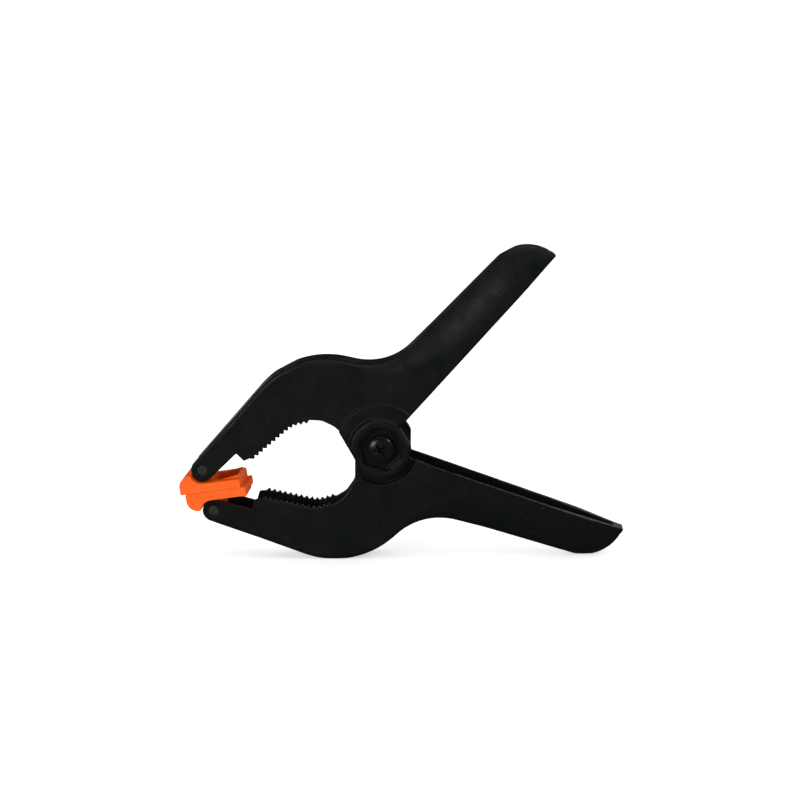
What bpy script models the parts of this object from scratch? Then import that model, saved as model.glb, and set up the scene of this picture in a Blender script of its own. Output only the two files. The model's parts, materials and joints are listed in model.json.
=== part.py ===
"""Spring clamp: two moulded arms on one screw, a torsion spring between them and swivel pads on the jaws.

Metres, +Z up. The clamp stands on the lower arm, with its screw along Y and its jaws towards -X.
Each arm is modelled once, in the clamp's own plane: u runs from the jaws to the handles, w from the
clamp's centre line out to the upper arm, and the pivot is at 0, 0. The lower arm is the same moulding,
turned half a turn about the u axis.
"""
import math

import bmesh
import bpy
import numpy as np
from mathutils import Matrix, Vector

GAP = 0.0003                    # clearance between neighbouring pieces
OVERLAP = 0.0002                # how far joined shapes reach into each other
ARC_ERROR = 0.00006             # largest distance of a sampled arc from the true one
WELD = 0.000001                 # points nearer than this are one
ROUND_STEPS = 3                 # facets across a rounded edge
CIRCLE_SIDES = 40

# Pads
PAD_FRONT = 0.0090              # from the pin to the nose end
PAD_REAR = 0.0133               # from the pin to the end that faces the screw
PAD_WIDTH = 0.0194
PAD_PLATE = 0.0031              # thickness of the plate behind the gripping face
PAD_PIN_HEIGHT = 0.0076         # pin centre above the gripping face
PAD_NOSE_HEIGHT = 0.0066
PAD_RIM_HEIGHT = 0.0042         # at the rear end, above the gripping face
PAD_RIM_WIDTH = 0.0134
PAD_RIM_WALL = 0.0012
PAD_FLOOR = 0.0015              # plate left under the hollow
PAD_LUG_RADIUS = 0.0036
PAD_NOSE_RADIUS = 0.0042
PAD_EDGE_RADIUS = 0.0006
PAD_FINE_RADIUS = 0.0003        # edge between the nose and the seat for the jaw tip
PAD_LEAN = math.radians(6.2)    # how far the closed pads lean from the centre line
PIN_RADIUS = 0.00165
PIN_CHAMFER = 0.0003

# Jaws
PIN_AHEAD = 0.0656              # pad pin ahead of the screw
TIP_RADIUS = 0.0042
JAW_WIDTH = 0.0150
JAW_BACK_SLOPE = math.radians(34.3)
JAW_BAR_SLOPE = math.radians(29.6)      # inner edge between the tip and the toothed part
NOTCH_AHEAD = 0.0518
STEP_AHEAD = 0.0498             # corner before the toothed part
STEP_HEIGHT = 0.00745
TEETH_START_AHEAD = 0.0474
TEETH_START_HEIGHT = 0.0079
TEETH_END_AHEAD = 0.0227
TEETH_END_HEIGHT = 0.01635
TEETH_TOP_AHEAD = 0.0294        # corner where the toothed edge rounds over to the throat
TEETH_TOP_HEIGHT = 0.0167
TEETH_TOP_RADIUS = 0.0090
TOOTH_PITCH = 0.0020
TOOTH_HEIGHT = 0.00095
THROAT_RADIUS = 0.0060
THROAT_FIRST_AHEAD = 0.0182     # corners of the throat between the last tooth and the ear
THROAT_FIRST_HEIGHT = 0.0150
THROAT_SECOND_AHEAD = 0.0146
THROAT_SECOND_HEIGHT = 0.0119
BACK_AT_NOTCH = 0.0595          # places along the back that face the inner edge's corners
BACK_AT_STEP = 0.0540
BACK_AT_FIRST_TOOTH = 0.0525
BACK_AT_LAST_TOOTH = 0.0307
BACK_AT_THROAT = 0.0090

# Back of the arm
CROWN_AHEAD = 0.0219            # corner that the crown rounds off
CROWN_FALL = math.radians(27.0)         # slope from the crown down to the waist
CROWN_RADIUS = 0.0325
WAIST_RADIUS = 0.0220
WALL = 0.0019
WEB = 0.0026                    # thickness of the channel's back
CHANNEL_SECTIONS = 44
CHANNEL_CORNER = 0.0005         # radius inside the channel, where the back's own leaves less

# Handle, measured along and across its inner edge, which points at the screw
HANDLE_ANGLE = math.radians(33.5)
HANDLE_LENGTH = 0.0935
HANDLE_DEPTH_ROOT = 0.0171
HANDLE_DEPTH_END = 0.0147
HANDLE_ROOT = 0.0354            # place of the root depth along the handle
HANDLE_ROOT_BACK = 0.0236       # place along the back that faces the root
HANDLE_END_RADIUS = 0.0154
HANDLE_END_FACE = 0.0020
HANDLE_END_WALL = 0.0040
HANDLE_ROOT_WIDTH = 0.0172
HANDLE_MIDDLE_WIDTH = 0.0151
HANDLE_END_WIDTH = 0.0106
HANDLE_TIP_WIDTH = 0.0069

JAW_EDGE_RADIUS = 0.0014
HANDLE_EDGE_RADIUS = 0.0066
TIP_EDGE_RADIUS = 0.0008
END_EDGE_RADIUS = 0.0022

# Ears at the pivot
LUG_LEAN = math.radians(15.3)   # lean of the ears' parallel flats
LUG_WIDTH = 0.0204
EAR_RADIUS = 0.0110
EAR_PLATEAU_RADIUS = 0.0164
EAR_RECESS_RADIUS = 0.0134
EAR_THICKNESS = 0.0026
INNER_EAR_RADIUS = 0.0098
INNER_EAR_WIDTH = 0.0190
INNER_EAR_THICKNESS = 0.0015
INNER_EAR_FACE = 0.0061         # outer face of an inner ear, from the centre plane
BOSS_HEIGHT = 0.0020
BOSS_CHAMFER = 0.0007
HEX_ACROSS_FLATS = 0.0142
HEX_DEPTH = 0.0030
SPIGOT_RADIUS = 0.0043

# Screw, washer and nut
SCREW_RADIUS = 0.0025
HEAD_RADIUS = 0.0050
HEAD_HEIGHT = 0.0028
HEAD_EDGE = 0.0009              # height of the head's straight rim
CROSS_LENGTH = 0.0056
CROSS_WIDTH = 0.0011
CROSS_DEPTH = 0.0018
CROSS_TURN = math.radians(23)
WASHER_RADIUS = 0.0060
WASHER_THICKNESS = 0.0010
NUT_ACROSS_FLATS = 0.0080
NUT_HEIGHT = 0.0036
NUT_COLLAR_RADIUS = 0.0037
NUT_COLLAR_HEIGHT = 0.0012
INSERT_THICKNESS = 0.0008
THREAD_PAST_NUT = 0.0008
SCREW_CHAMFER = 0.0005

# Spring
WIRE_RADIUS = 0.0011
COIL_GAP = 0.0005               # between the coil and the spigots inside it
COIL_TURNS = 2                  # whole turns, besides the part turn between the legs
COIL_POINTS = 10                # points in each turn
LEG_REACH = 0.0440              # along the handle, where the leg meets the channel's back
LEG_FOOT = 0.0090               # straight end that lies along the channel
LEG_BEND = 0.0025               # how far from its corner a leg starts to bend

REST_FLAT = 0.00035             # depth of the flats that the clamp stands on

# Colours and finish: colour, roughness, metallic
BLACK_PLASTIC = ((0.010, 0.011, 0.010), 0.52, 0.0)
ORANGE_PLASTIC = ((0.91, 0.13, 0.017), 0.40, 0.0)
BLACK_STEEL = ((0.015, 0.016, 0.015), 0.25, 0.9)
DARK_PIN = ((0.022, 0.028, 0.024), 0.45, 0.6)
SPRING_STEEL = ((0.30, 0.30, 0.31), 0.32, 1.0)
ZINC_STEEL = ((0.55, 0.55, 0.54), 0.30, 1.0)
NYLON = ((0.75, 0.76, 0.74), 0.50, 0.0)

# Worked out from the sizes above
HALF_JAW = JAW_WIDTH / 2
OUTER_EAR_FACE = INNER_EAR_FACE + GAP                   # inner face of an outer ear
BOSS_FOOT = OUTER_EAR_FACE + EAR_THICKNESS
BOSS_FACE = BOSS_FOOT + BOSS_HEIGHT
HEX_FLOOR = BOSS_FACE - HEX_DEPTH
COIL_SPACE = INNER_EAR_FACE - INNER_EAR_THICKNESS       # half the room between the inner ears
BORE_RADIUS = SCREW_RADIUS + GAP
PIN_BORE_RADIUS = PIN_RADIUS + GAP
PIN = Vector((-PIN_AHEAD, (PAD_PIN_HEIGHT + GAP / 2) / math.cos(PAD_LEAN)))
STEP = Vector((-STEP_AHEAD, STEP_HEIGHT))
TEETH_START = Vector((-TEETH_START_AHEAD, TEETH_START_HEIGHT))
TEETH_TOP = Vector((-TEETH_TOP_AHEAD, TEETH_TOP_HEIGHT))
TEETH_END = Vector((-TEETH_END_AHEAD, TEETH_END_HEIGHT))
THROAT_FIRST = Vector((-THROAT_FIRST_AHEAD, THROAT_FIRST_HEIGHT))
THROAT_SECOND = Vector((-THROAT_SECOND_AHEAD, THROAT_SECOND_HEIGHT))
COIL_RADIUS = SPIGOT_RADIUS + COIL_GAP + WIRE_RADIUS
ALONG_HANDLE = Vector((math.cos(HANDLE_ANGLE), math.sin(HANDLE_ANGLE)))
ACROSS_HANDLE = Vector((-ALONG_HANDLE.y, ALONG_HANDLE.x))
LUG_DOWN = Vector((math.sin(LUG_LEAN), -math.cos(LUG_LEAN)))
LUG_SIDE = Vector((math.cos(LUG_LEAN), math.sin(LUG_LEAN)))


# ---------------------------------------------------------------- scene helpers

def clear_scene():
    for old in list(bpy.data.objects):
        bpy.data.objects.remove(old, do_unlink=True)


def new_collection(name):
    collection = bpy.data.collections.new(name)
    bpy.context.scene.collection.children.link(collection)
    return collection


def material(name, look):
    colour, roughness, metallic = look
    made = bpy.data.materials.new(name)
    made.use_nodes = True
    shader = made.node_tree.nodes["Principled BSDF"]
    shader.inputs["Base Color"].default_value = (*colour, 1.0)
    shader.inputs["Roughness"].default_value = roughness
    shader.inputs["Metallic"].default_value = metallic
    return made


def add_object(name, mesh, collection):
    made = bpy.data.objects.new(name, mesh)
    collection.objects.link(made)
    return made


def mesh_object(name, bm):
    bmesh.ops.recalc_face_normals(bm, faces=bm.faces)
    mesh = bpy.data.meshes.new(name)
    bm.to_mesh(mesh)
    bm.free()
    return add_object(name, mesh, CUTTERS)


def evaluated_mesh(source):
    graph = bpy.context.evaluated_depsgraph_get()
    graph.update()
    return bpy.data.meshes.new_from_object(source.evaluated_get(graph), depsgraph=graph)


def baked(source):
    """The object with its modifiers and its placing worked into a mesh of its own."""
    mesh = evaluated_mesh(source)
    mesh.transform(source.matrix_world)
    source.modifiers.clear()
    source.data = mesh
    source.matrix_world = Matrix.Identity(4)
    return source


def combine(body, tools, operation):
    """Join or cut body with all the tools in one step, and remove the tools."""
    group = new_collection("tools")
    for tool in tools:
        group.objects.link(tool)
    modifier = body.modifiers.new("combine", "BOOLEAN")
    modifier.operation = operation
    modifier.solver = "EXACT"
    modifier.operand_type = "COLLECTION"
    modifier.collection = group
    bpy.context.view_layer.update()
    baked(body)
    for tool in tools:
        bpy.data.objects.remove(tool, do_unlink=True)
    bpy.data.collections.remove(group)


def cut(body, *tools):
    combine(body, tools, "DIFFERENCE")


def join(body, *tools):
    combine(body, tools, "UNION")


# ---------------------------------------------------------------- outlines in the u, w plane

def crossing(start, direction, other_start, other_direction):
    """Where two lines in the plane meet."""
    spread = direction.x * other_direction.y - direction.y * other_direction.x
    away = other_start - start
    return start + direction * ((away.x * other_direction.y - away.y * other_direction.x) / spread)


def heading(angle):
    return Vector((math.cos(angle), math.sin(angle)))


def arc_steps(radius, turn):
    return max(2, math.ceil(abs(turn) / (2 * math.acos(1 - ARC_ERROR / radius))))


def arc(centre, radius, start, end):
    """Points along an arc, both ends included."""
    steps = arc_steps(radius, end - start)
    return [centre + radius * heading(start + (end - start) * i / steps) for i in range(steps + 1)]


def fillet_centre(before, corner, after, radius):
    to_before = (before - corner).normalized()
    to_after = (after - corner).normalized()
    half = to_before.angle(to_after) / 2
    return corner + (to_before + to_after).normalized() * (radius / math.sin(half))


def filleted(corners):
    """An outline from corner points with a radius each; a radius of 0 leaves the corner sharp."""
    points = []
    for i, (corner, radius) in enumerate(corners):
        if radius == 0:
            points.append(corner)
            continue
        before, after = corners[i - 1][0], corners[(i + 1) % len(corners)][0]
        centre = fillet_centre(before, corner, after, radius)
        ways = [(before - corner).normalized(), (after - corner).normalized()]
        ends = [corner + way * way.dot(centre - corner) - centre for way in ways]
        first, last = (math.atan2(end.y, end.x) for end in ends)
        turn = math.remainder(last - first, math.tau)
        points += arc(centre, radius, first, first + turn)
    return points


def path_lengths(path):
    steps = [(b - a).length for a, b in zip(path, path[1:])]
    return np.concatenate([[0.0], np.cumsum(steps)])


def stretch(path, start, end, count):
    """count points after the one at length start, the last of them at length end."""
    lengths = path_lengths(path)
    wanted = [start + (end - start) * (i + 1) / count for i in range(count)]
    return [Vector((np.interp(s, lengths, [p.x for p in path]),
                    np.interp(s, lengths, [p.y for p in path]))) for s in wanted]


def inset_path(path, depth):
    """The path moved to its right by depth."""
    moved = []
    for i, point in enumerate(path):
        way = (path[min(i + 1, len(path) - 1)] - path[max(i - 1, 0)]).normalized()
        moved.append(point + Vector((way.y, -way.x)) * depth)
    return moved


def length_at(path, u):
    """Length along the path at which it reaches u."""
    return float(np.interp(u, [p.x for p in path], path_lengths(path)))


def handle_point(along, depth):
    return ALONG_HANDLE * along + ACROSS_HANDLE * depth


def lug_point(down, side):
    return LUG_DOWN * down + LUG_SIDE * side


# ---------------------------------------------------------------- simple solids

def slab(name, outline, low, high):
    """A flat outline in the u, w plane, from y = low to y = high."""
    curve = bpy.data.curves.new(name, "CURVE")
    curve.dimensions = "2D"
    curve.fill_mode = "BOTH"
    curve.extrude = (high - low) / 2
    spline = curve.splines.new("POLY")
    spline.points.add(len(outline) - 1)
    for point, place in zip(spline.points, outline):
        point.co = (place.x, place.y, 0, 1)
    spline.use_cyclic_u = True
    flat = add_object(name, curve, CUTTERS)
    flat.rotation_euler.x = math.pi / 2
    flat.location.y = (low + high) / 2
    bpy.context.view_layer.update()
    return solid_from_curve(flat)


def solid_from_curve(source):
    """The curve object as a welded mesh object in its place."""
    bm = bmesh.new()
    bm.from_mesh(evaluated_mesh(source))
    bmesh.ops.transform(bm, matrix=source.matrix_world, verts=bm.verts)
    bmesh.ops.remove_doubles(bm, verts=bm.verts, dist=WELD)
    name = source.name
    bpy.data.objects.remove(source, do_unlink=True)
    return mesh_object(name, bm)


def rod(name, radius, low, high, centre=Vector((0, 0)), sides=CIRCLE_SIDES, turn=0.0):
    """A cylinder or prism along Y."""
    bm = bmesh.new()
    bmesh.ops.create_cone(bm, cap_ends=True, segments=sides, radius1=radius, radius2=radius,
                          depth=high - low)
    place = (Matrix.Translation((centre.x, (low + high) / 2, centre.y))
             @ Matrix.Rotation(math.pi / 2, 4, "X") @ Matrix.Rotation(turn, 4, "Z"))
    bmesh.ops.transform(bm, matrix=place, verts=bm.verts)
    return mesh_object(name, bm)


def block(name, low, high):
    bm = bmesh.new()
    bmesh.ops.create_cube(bm, size=1.0)
    low, high = Vector(low), Vector(high)
    place = Matrix.Translation((low + high) / 2) @ Matrix.Diagonal((*(high - low), 1))
    bmesh.ops.transform(bm, matrix=place, verts=bm.verts)
    return mesh_object(name, bm)


def turned(name, profile):
    """A body turned about Y from (radius, y) points that run down its outer side."""
    bm = bmesh.new()
    places = [bm.verts.new((radius, 0, height)) for radius, height in profile]
    for a, b in zip(places, places[1:]):
        bm.edges.new((a, b))
    mesh = bpy.data.meshes.new(name)
    bm.to_mesh(mesh)
    bm.free()
    made = add_object(name, mesh, CUTTERS)
    screw = made.modifiers.new("turn", "SCREW")
    screw.steps = screw.render_steps = CIRCLE_SIDES
    screw.use_merge_vertices = True
    screw.merge_threshold = WELD
    made.rotation_euler.x = -math.pi / 2
    bpy.context.view_layer.update()
    return baked(made)


def bevel_rims(solid, width, level, segments=1):
    """Bevel the edges of the solid's flat end at y = level."""
    bm = bmesh.new()
    bm.from_mesh(solid.data)
    rim = [e for e in bm.edges if all(abs(v.co.y - level) < WELD for v in e.verts)
           and any(abs(f.normal.y) < 0.5 for f in e.link_faces)]
    bmesh.ops.bevel(bm, geom=rim, offset=width, segments=segments, profile=0.5, affect="EDGES")
    bm.to_mesh(solid.data)
    bm.free()
    return solid


# ---------------------------------------------------------------- arm

def back_corners():
    """Corners of the arm's back, from the jaw tip to the end of the handle."""
    tangent = PIN + TIP_RADIUS * heading(JAW_BACK_SLOPE + math.pi / 2)
    jaw_back = heading(JAW_BACK_SLOPE)
    crown = crossing(tangent, jaw_back, Vector((-CROWN_AHEAD, 0)), Vector((0, 1)))
    root = handle_point(HANDLE_ROOT, HANDLE_DEPTH_ROOT)
    end = handle_point(HANDLE_LENGTH, HANDLE_DEPTH_END)
    waist = crossing(crown, heading(-CROWN_FALL), root, end - root)
    return [(tangent, 0), (crown, CROWN_RADIUS), (waist, WAIST_RADIUS),
            (end, HANDLE_END_RADIUS), (handle_point(HANDLE_LENGTH, HANDLE_END_FACE), 0)]


def handle_corner():
    """Where the handle's inner edge meets the ear's rear flat."""
    return crossing(Vector((0, 0)), ALONG_HANDLE, lug_point(0, LUG_WIDTH / 2), LUG_DOWN)


def throat_corner(radius):
    """Where the ear's front flat meets a circle about the screw."""
    half = LUG_WIDTH / 2
    return lug_point(-math.sqrt(radius ** 2 - half ** 2), -half)


def jaw_bar_start():
    return PIN + TIP_RADIUS * heading(JAW_BAR_SLOPE - math.pi / 2)


def notch():
    return crossing(jaw_bar_start(), heading(JAW_BAR_SLOPE), Vector((-NOTCH_AHEAD, 0)), Vector((0, 1)))


def toothed_edge(height):
    """The toothed edge: a straight run that rounds over to the throat, a tooth at every second point."""
    path = filleted([(TEETH_START, 0), (TEETH_TOP, TEETH_TOP_RADIUS), (TEETH_END, 0)])
    length = path_lengths(path)[-1]
    last = 2 * round(length / TOOTH_PITCH)
    places = [TEETH_START] + stretch(path, 0, length, last)
    points = []
    for i, place in enumerate(places):
        way = (places[min(i + 1, last)] - places[max(i - 1, 0)]).normalized()
        points.append(place + Vector((way.y, -way.x)) * (height if i % 2 else 0))
    return points


def throat():
    """The rounded throat, from the last tooth to the ear's front flat."""
    foot = throat_corner(EAR_PLATEAU_RADIUS) + LUG_SIDE * OVERLAP
    return filleted([(TEETH_END, 0), (THROAT_FIRST, THROAT_RADIUS), (THROAT_SECOND, THROAT_RADIUS),
                     (foot, 0)])[1:]


def arm_stations(teeth):
    """Pairs of points across the arm, one on its back and one on its inner edge, tip to end."""
    back = filleted(back_corners())
    notch_corner, foot, corner = notch(), throat()[-1], handle_corner()
    end_round = path_lengths(back)[-1] - HANDLE_END_RADIUS * math.pi / 2 - HANDLE_END_FACE
    inner_end = handle_point(HANDLE_LENGTH, 0)
    round_start = handle_point(HANDLE_LENGTH - HANDLE_END_RADIUS, 0)
    handle_start = handle_point(HANDLE_ROOT, 0)
    zones = [
        (length_at(back, -BACK_AT_NOTCH), [notch_corner]),
        (length_at(back, -BACK_AT_STEP), [STEP]),
        (length_at(back, -BACK_AT_FIRST_TOOTH), [TEETH_START]),
        (length_at(back, -BACK_AT_LAST_TOOTH), toothed_edge(teeth)[1:]),
        (length_at(back, -BACK_AT_THROAT), throat()),
        (length_at(back, corner.x), stretch([foot, corner], 0, (corner - foot).length, 8)),
        (length_at(back, HANDLE_ROOT_BACK),
         stretch([corner, handle_start], 0, (handle_start - corner).length, 7)),
        (end_round, stretch([handle_start, round_start], 0, (round_start - handle_start).length, 6)),
        (path_lengths(back)[-1],
         stretch([round_start, inner_end], 0, (inner_end - round_start).length, 9)),
    ]
    stations = [(back[0], jaw_bar_start())]
    reached = 0.0
    for reach, inner in zones:
        stations += list(zip(stretch(back, reached, reach, len(inner)), inner))
        reached = reach
    return stations


def tip_stations():
    """Chords across the round jaw tip, from its end to where the jaw's straight edges begin."""
    upper = arc(PIN, TIP_RADIUS, math.radians(195), JAW_BACK_SLOPE + math.pi / 2)
    lower_start, lower_end = math.radians(225), math.tau + JAW_BAR_SLOPE - math.pi / 2
    steps = len(upper) - 1
    lower = [PIN + TIP_RADIUS * heading(lower_start + (lower_end - lower_start) * i / steps)
             for i in range(steps + 1)]
    return list(zip(upper, lower))[:-1]


def half_width(u):
    """Half the arm's width in Y at a place along it."""
    root, end = HANDLE_ROOT * ALONG_HANDLE.x, HANDLE_LENGTH * ALONG_HANDLE.x
    places = [0, root * 0.5, (root + end) / 2, end - HANDLE_END_RADIUS * 0.75, end]
    widths = [JAW_WIDTH, HANDLE_ROOT_WIDTH, HANDLE_MIDDLE_WIDTH, HANDLE_END_WIDTH, HANDLE_TIP_WIDTH]
    return float(np.interp(u, places, widths)) / 2


def edge_radius(u):
    """Radius of the arm's back edges at a place along it."""
    root, end = HANDLE_ROOT * ALONG_HANDLE.x, HANDLE_LENGTH * ALONG_HANDLE.x
    places = [-PIN_AHEAD, -NOTCH_AHEAD, 0, root, end - HANDLE_END_RADIUS * 1.5, end]
    radii = [TIP_EDGE_RADIUS, JAW_EDGE_RADIUS, JAW_EDGE_RADIUS, HANDLE_EDGE_RADIUS,
             HANDLE_EDGE_RADIUS, END_EDGE_RADIUS]
    return float(np.interp(u, places, radii))


def section(back, inner, half, radius):
    """Points round one cross-section: square at the inner edge, rounded at the back."""
    inward = (inner - back).normalized()
    radius = min(radius, half * 0.9, (inner - back).length * 0.8)
    side = [(inner, half)]
    for step in range(ROUND_STEPS, -1, -1):
        angle = math.pi / 2 * step / ROUND_STEPS
        place = back + inward * radius * (1 - math.cos(angle))
        side.append((place, half - radius + radius * math.sin(angle)))
    ring = side + [(place, -y) for place, y in reversed(side)]
    return [Vector((place.x, y, place.y)) for place, y in ring]


def loft(name, sections):
    """A solid through cross-sections that all have as many points."""
    bm = bmesh.new()
    rings = [[bm.verts.new(place) for place in ring] for ring in sections]
    for ring, following in zip(rings, rings[1:]):
        for i in range(len(ring)):
            j = (i + 1) % len(ring)
            bm.faces.new((ring[i], ring[j], following[j], following[i]))
    bm.faces.new(rings[0])
    bm.faces.new(list(reversed(rings[-1])))
    bmesh.ops.triangulate(bm, faces=bm.faces)
    return mesh_object(name, bm)


def arm_body():
    sections = [section(back, inner, half_width(back.x), edge_radius(back.x))
                for back, inner in tip_stations() + arm_stations(TOOTH_HEIGHT)]
    return loft("arm_body", sections)


def channel():
    """The hollow inside the arm: upright sections under the arm's back, open along its inner edge."""
    back = filleted(back_corners())
    start, end = PIN.x, (HANDLE_LENGTH - HANDLE_END_WALL) * ALONG_HANDLE.x
    floor = inset_path(back, WEB)
    below = -HALF_JAW
    sections = []
    for step in range(CHANNEL_SECTIONS + 1):
        u = start + (end - start) * step / CHANNEL_SECTIONS
        top = Vector((u, np.interp(u, [p.x for p in floor], [p.y for p in floor])))
        radius = max(edge_radius(u) - WALL, CHANNEL_CORNER)
        sections.append(section(top, Vector((u, below)), half_width(u) - WALL, radius))
    return loft("channel", sections)


def lug_round(radius, half):
    """The round lower end of an ear, clipped by its parallel flats, from front flat to rear flat."""
    reach = math.asin(min(half / radius, 1.0))
    down = math.atan2(LUG_DOWN.y, LUG_DOWN.x)
    return arc(Vector((0, 0)), radius, down - reach, down + reach)


def ear_outline(radius, half, plateau):
    """An ear: a round end about the screw, two flats and an arc that ends it on the arm's wall."""
    rear = handle_point(plateau, OVERLAP)
    front = lug_point(-math.sqrt(plateau ** 2 - half ** 2), -half)
    corner = crossing(handle_point(0, OVERLAP), ALONG_HANDLE, lug_point(0, half), LUG_DOWN)
    start, end = (math.atan2(p.y, p.x) for p in (rear, front))
    return lug_round(radius, half) + [corner] + arc(Vector((0, 0)), plateau, start, end)


def boss_outline():
    """The round boss on an outer ear, clipped by flats just inside the ear's."""
    below = lug_round(EAR_RADIUS - OVERLAP, LUG_WIDTH / 2 - OVERLAP)
    return below + [-p for p in below]


def outer_ear():
    """The ear with the screw's pocket, on the arm's near side."""
    ear = slab("outer_ear", ear_outline(EAR_RADIUS, LUG_WIDTH / 2, EAR_PLATEAU_RADIUS),
               -BOSS_FOOT, -OUTER_EAR_FACE)
    bevel_rims(ear, BOSS_CHAMFER / 2, -BOSS_FOOT)
    boss = slab("boss", boss_outline(), -BOSS_FACE, -BOSS_FOOT + BOSS_CHAMFER)
    bevel_rims(boss, BOSS_CHAMFER, -BOSS_FACE)
    join(ear, boss)
    return ear


def inner_ear():
    """The thinner ear that runs inside the other arm's outer ear, with a spigot for the coil."""
    reach = EAR_PLATEAU_RADIUS + OVERLAP
    ear = slab("inner_ear", ear_outline(INNER_EAR_RADIUS, INNER_EAR_WIDTH / 2, reach),
               COIL_SPACE, INNER_EAR_FACE)
    join(ear, rod("spigot", SPIGOT_RADIUS, GAP / 2, COIL_SPACE + OVERLAP))
    return ear


def rest_line():
    """Lean and height of the line that touches the crown and the handle end from outside."""
    corners = back_corners()
    crown = fillet_centre(*(corners[i][0] for i in (0, 1, 2)), CROWN_RADIUS)
    end = fillet_centre(*(corners[i][0] for i in (2, 3, 4)), HANDLE_END_RADIUS)
    apart = end - crown
    lean = math.atan2(apart.y, apart.x) + math.asin((HANDLE_END_RADIUS - CROWN_RADIUS) / apart.length)
    outward = heading(lean + math.pi / 2)
    return lean, crown.dot(outward) + CROWN_RADIUS - REST_FLAT


def rest_cutter():
    """What is taken off the arm's back to leave two flats in one plane."""
    lean, height = rest_line()
    reach = HANDLE_LENGTH * 1.5
    cutter = block("rest_cutter", (-reach, -HALF_JAW * 2, height), (reach, HALF_JAW * 2, height + reach))
    cutter.data.transform(Matrix.Rotation(-lean, 4, "Y"))
    return cutter


def arm_mesh():
    """One arm, jaw towards -u and back towards +w, with its outer ear on the -Y side."""
    arm = arm_body()
    hub_clear = rod("hub_clear", EAR_RECESS_RADIUS, -OUTER_EAR_FACE, 0)
    ear_recess = rod("ear_recess", EAR_RECESS_RADIUS, INNER_EAR_FACE, HALF_JAW * 2)
    slot_half = HALF_JAW - WALL + OVERLAP
    tip_slot = rod("tip_slot", TIP_RADIUS + GAP, -slot_half, slot_half, PIN)
    cut(arm, channel(), tip_slot, hub_clear, ear_recess)
    join(arm, outer_ear(), inner_ear())
    bore = rod("bore", BORE_RADIUS, -HALF_JAW * 2, HALF_JAW * 2)
    pin_bore = rod("pin_bore", PIN_BORE_RADIUS, -HALF_JAW * 2, HALF_JAW * 2, PIN)
    hex_radius = HEX_ACROSS_FLATS / 2 / math.cos(math.pi / 6)
    pocket = rod("pocket", hex_radius, -BOSS_FACE * 2, -HEX_FLOOR, sides=6)
    cut(arm, bore, pin_bore, pocket, rest_cutter())
    return arm


# ---------------------------------------------------------------- pads and pins

def pad_profile():
    """Side view of a pad about its pin: gripping face below, nose at the front, plate behind."""
    face, plate = -PAD_PIN_HEIGHT, PAD_PLATE - PAD_PIN_HEIGHT
    nose = PAD_NOSE_HEIGHT - PAD_PIN_HEIGHT
    seat = -plate
    seat_start = math.pi + math.asin(min(-nose / seat, 0.9))
    nose_top = Vector((seat * math.cos(seat_start), nose))
    corners = [(Vector((PAD_REAR, face)), 0), (Vector((PAD_REAR, plate)), PAD_EDGE_RADIUS)]
    front = [(nose_top, PAD_FINE_RADIUS), (Vector((-PAD_FRONT, nose)), PAD_NOSE_RADIUS),
             (Vector((-PAD_FRONT, face)), PAD_EDGE_RADIUS)]
    seat_arc = arc(Vector((0, 0)), seat, math.pi * 1.5, seat_start)
    return filleted(corners + [(p, 0) for p in seat_arc[:-1]] + front)


def pad_mesh():
    """A pad about its pin, gripping face down, nose towards -u."""
    face, plate = -PAD_PIN_HEIGHT, PAD_PLATE - PAD_PIN_HEIGHT
    half, rim_half = PAD_WIDTH / 2, PAD_RIM_WIDTH / 2
    pad = slab("pad", pad_profile(), -half, half)
    rim_start, rim_end = -plate, PAD_REAR - OVERLAP * 2
    rim = slab("rim", filleted([(Vector((rim_start, plate - OVERLAP)), 0),
                                (Vector((rim_end, plate - OVERLAP)), 0),
                                (Vector((rim_end, PAD_RIM_HEIGHT + face)), PAD_EDGE_RADIUS)]),
               -rim_half, rim_half)
    join(pad, rim)
    hollow_half = rim_half - PAD_RIM_WALL
    hollow_front = plate * 0.9
    cut(pad, block("hollow", (hollow_front, -hollow_half, face + PAD_FLOOR),
                   (PAD_REAR - PAD_RIM_WALL, hollow_half, PAD_RIM_HEIGHT)))
    lug_half = min(HALF_JAW - WALL - GAP, hollow_half - GAP)
    lug = rod("lug", PAD_LUG_RADIUS, -lug_half, lug_half, sides=24)
    join(lug, block("lug_foot", (-PAD_LUG_RADIUS * 0.94, -lug_half, face + PAD_FLOOR - OVERLAP),
                    (PAD_LUG_RADIUS * 0.94, lug_half, -PAD_LUG_RADIUS * 0.34)))
    join(pad, lug)
    cut(pad, rod("pad_bore", PIN_BORE_RADIUS, -half, half, sides=24))
    return pad


def pin_mesh():
    half, flat = HALF_JAW - OVERLAP, PIN_RADIUS - PIN_CHAMFER
    return turned("pin", [(0, half), (flat, half), (PIN_RADIUS, half - PIN_CHAMFER),
                          (PIN_RADIUS, PIN_CHAMFER - half), (flat, -half), (0, -half)])


# ---------------------------------------------------------------- screw, washer, nut

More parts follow.
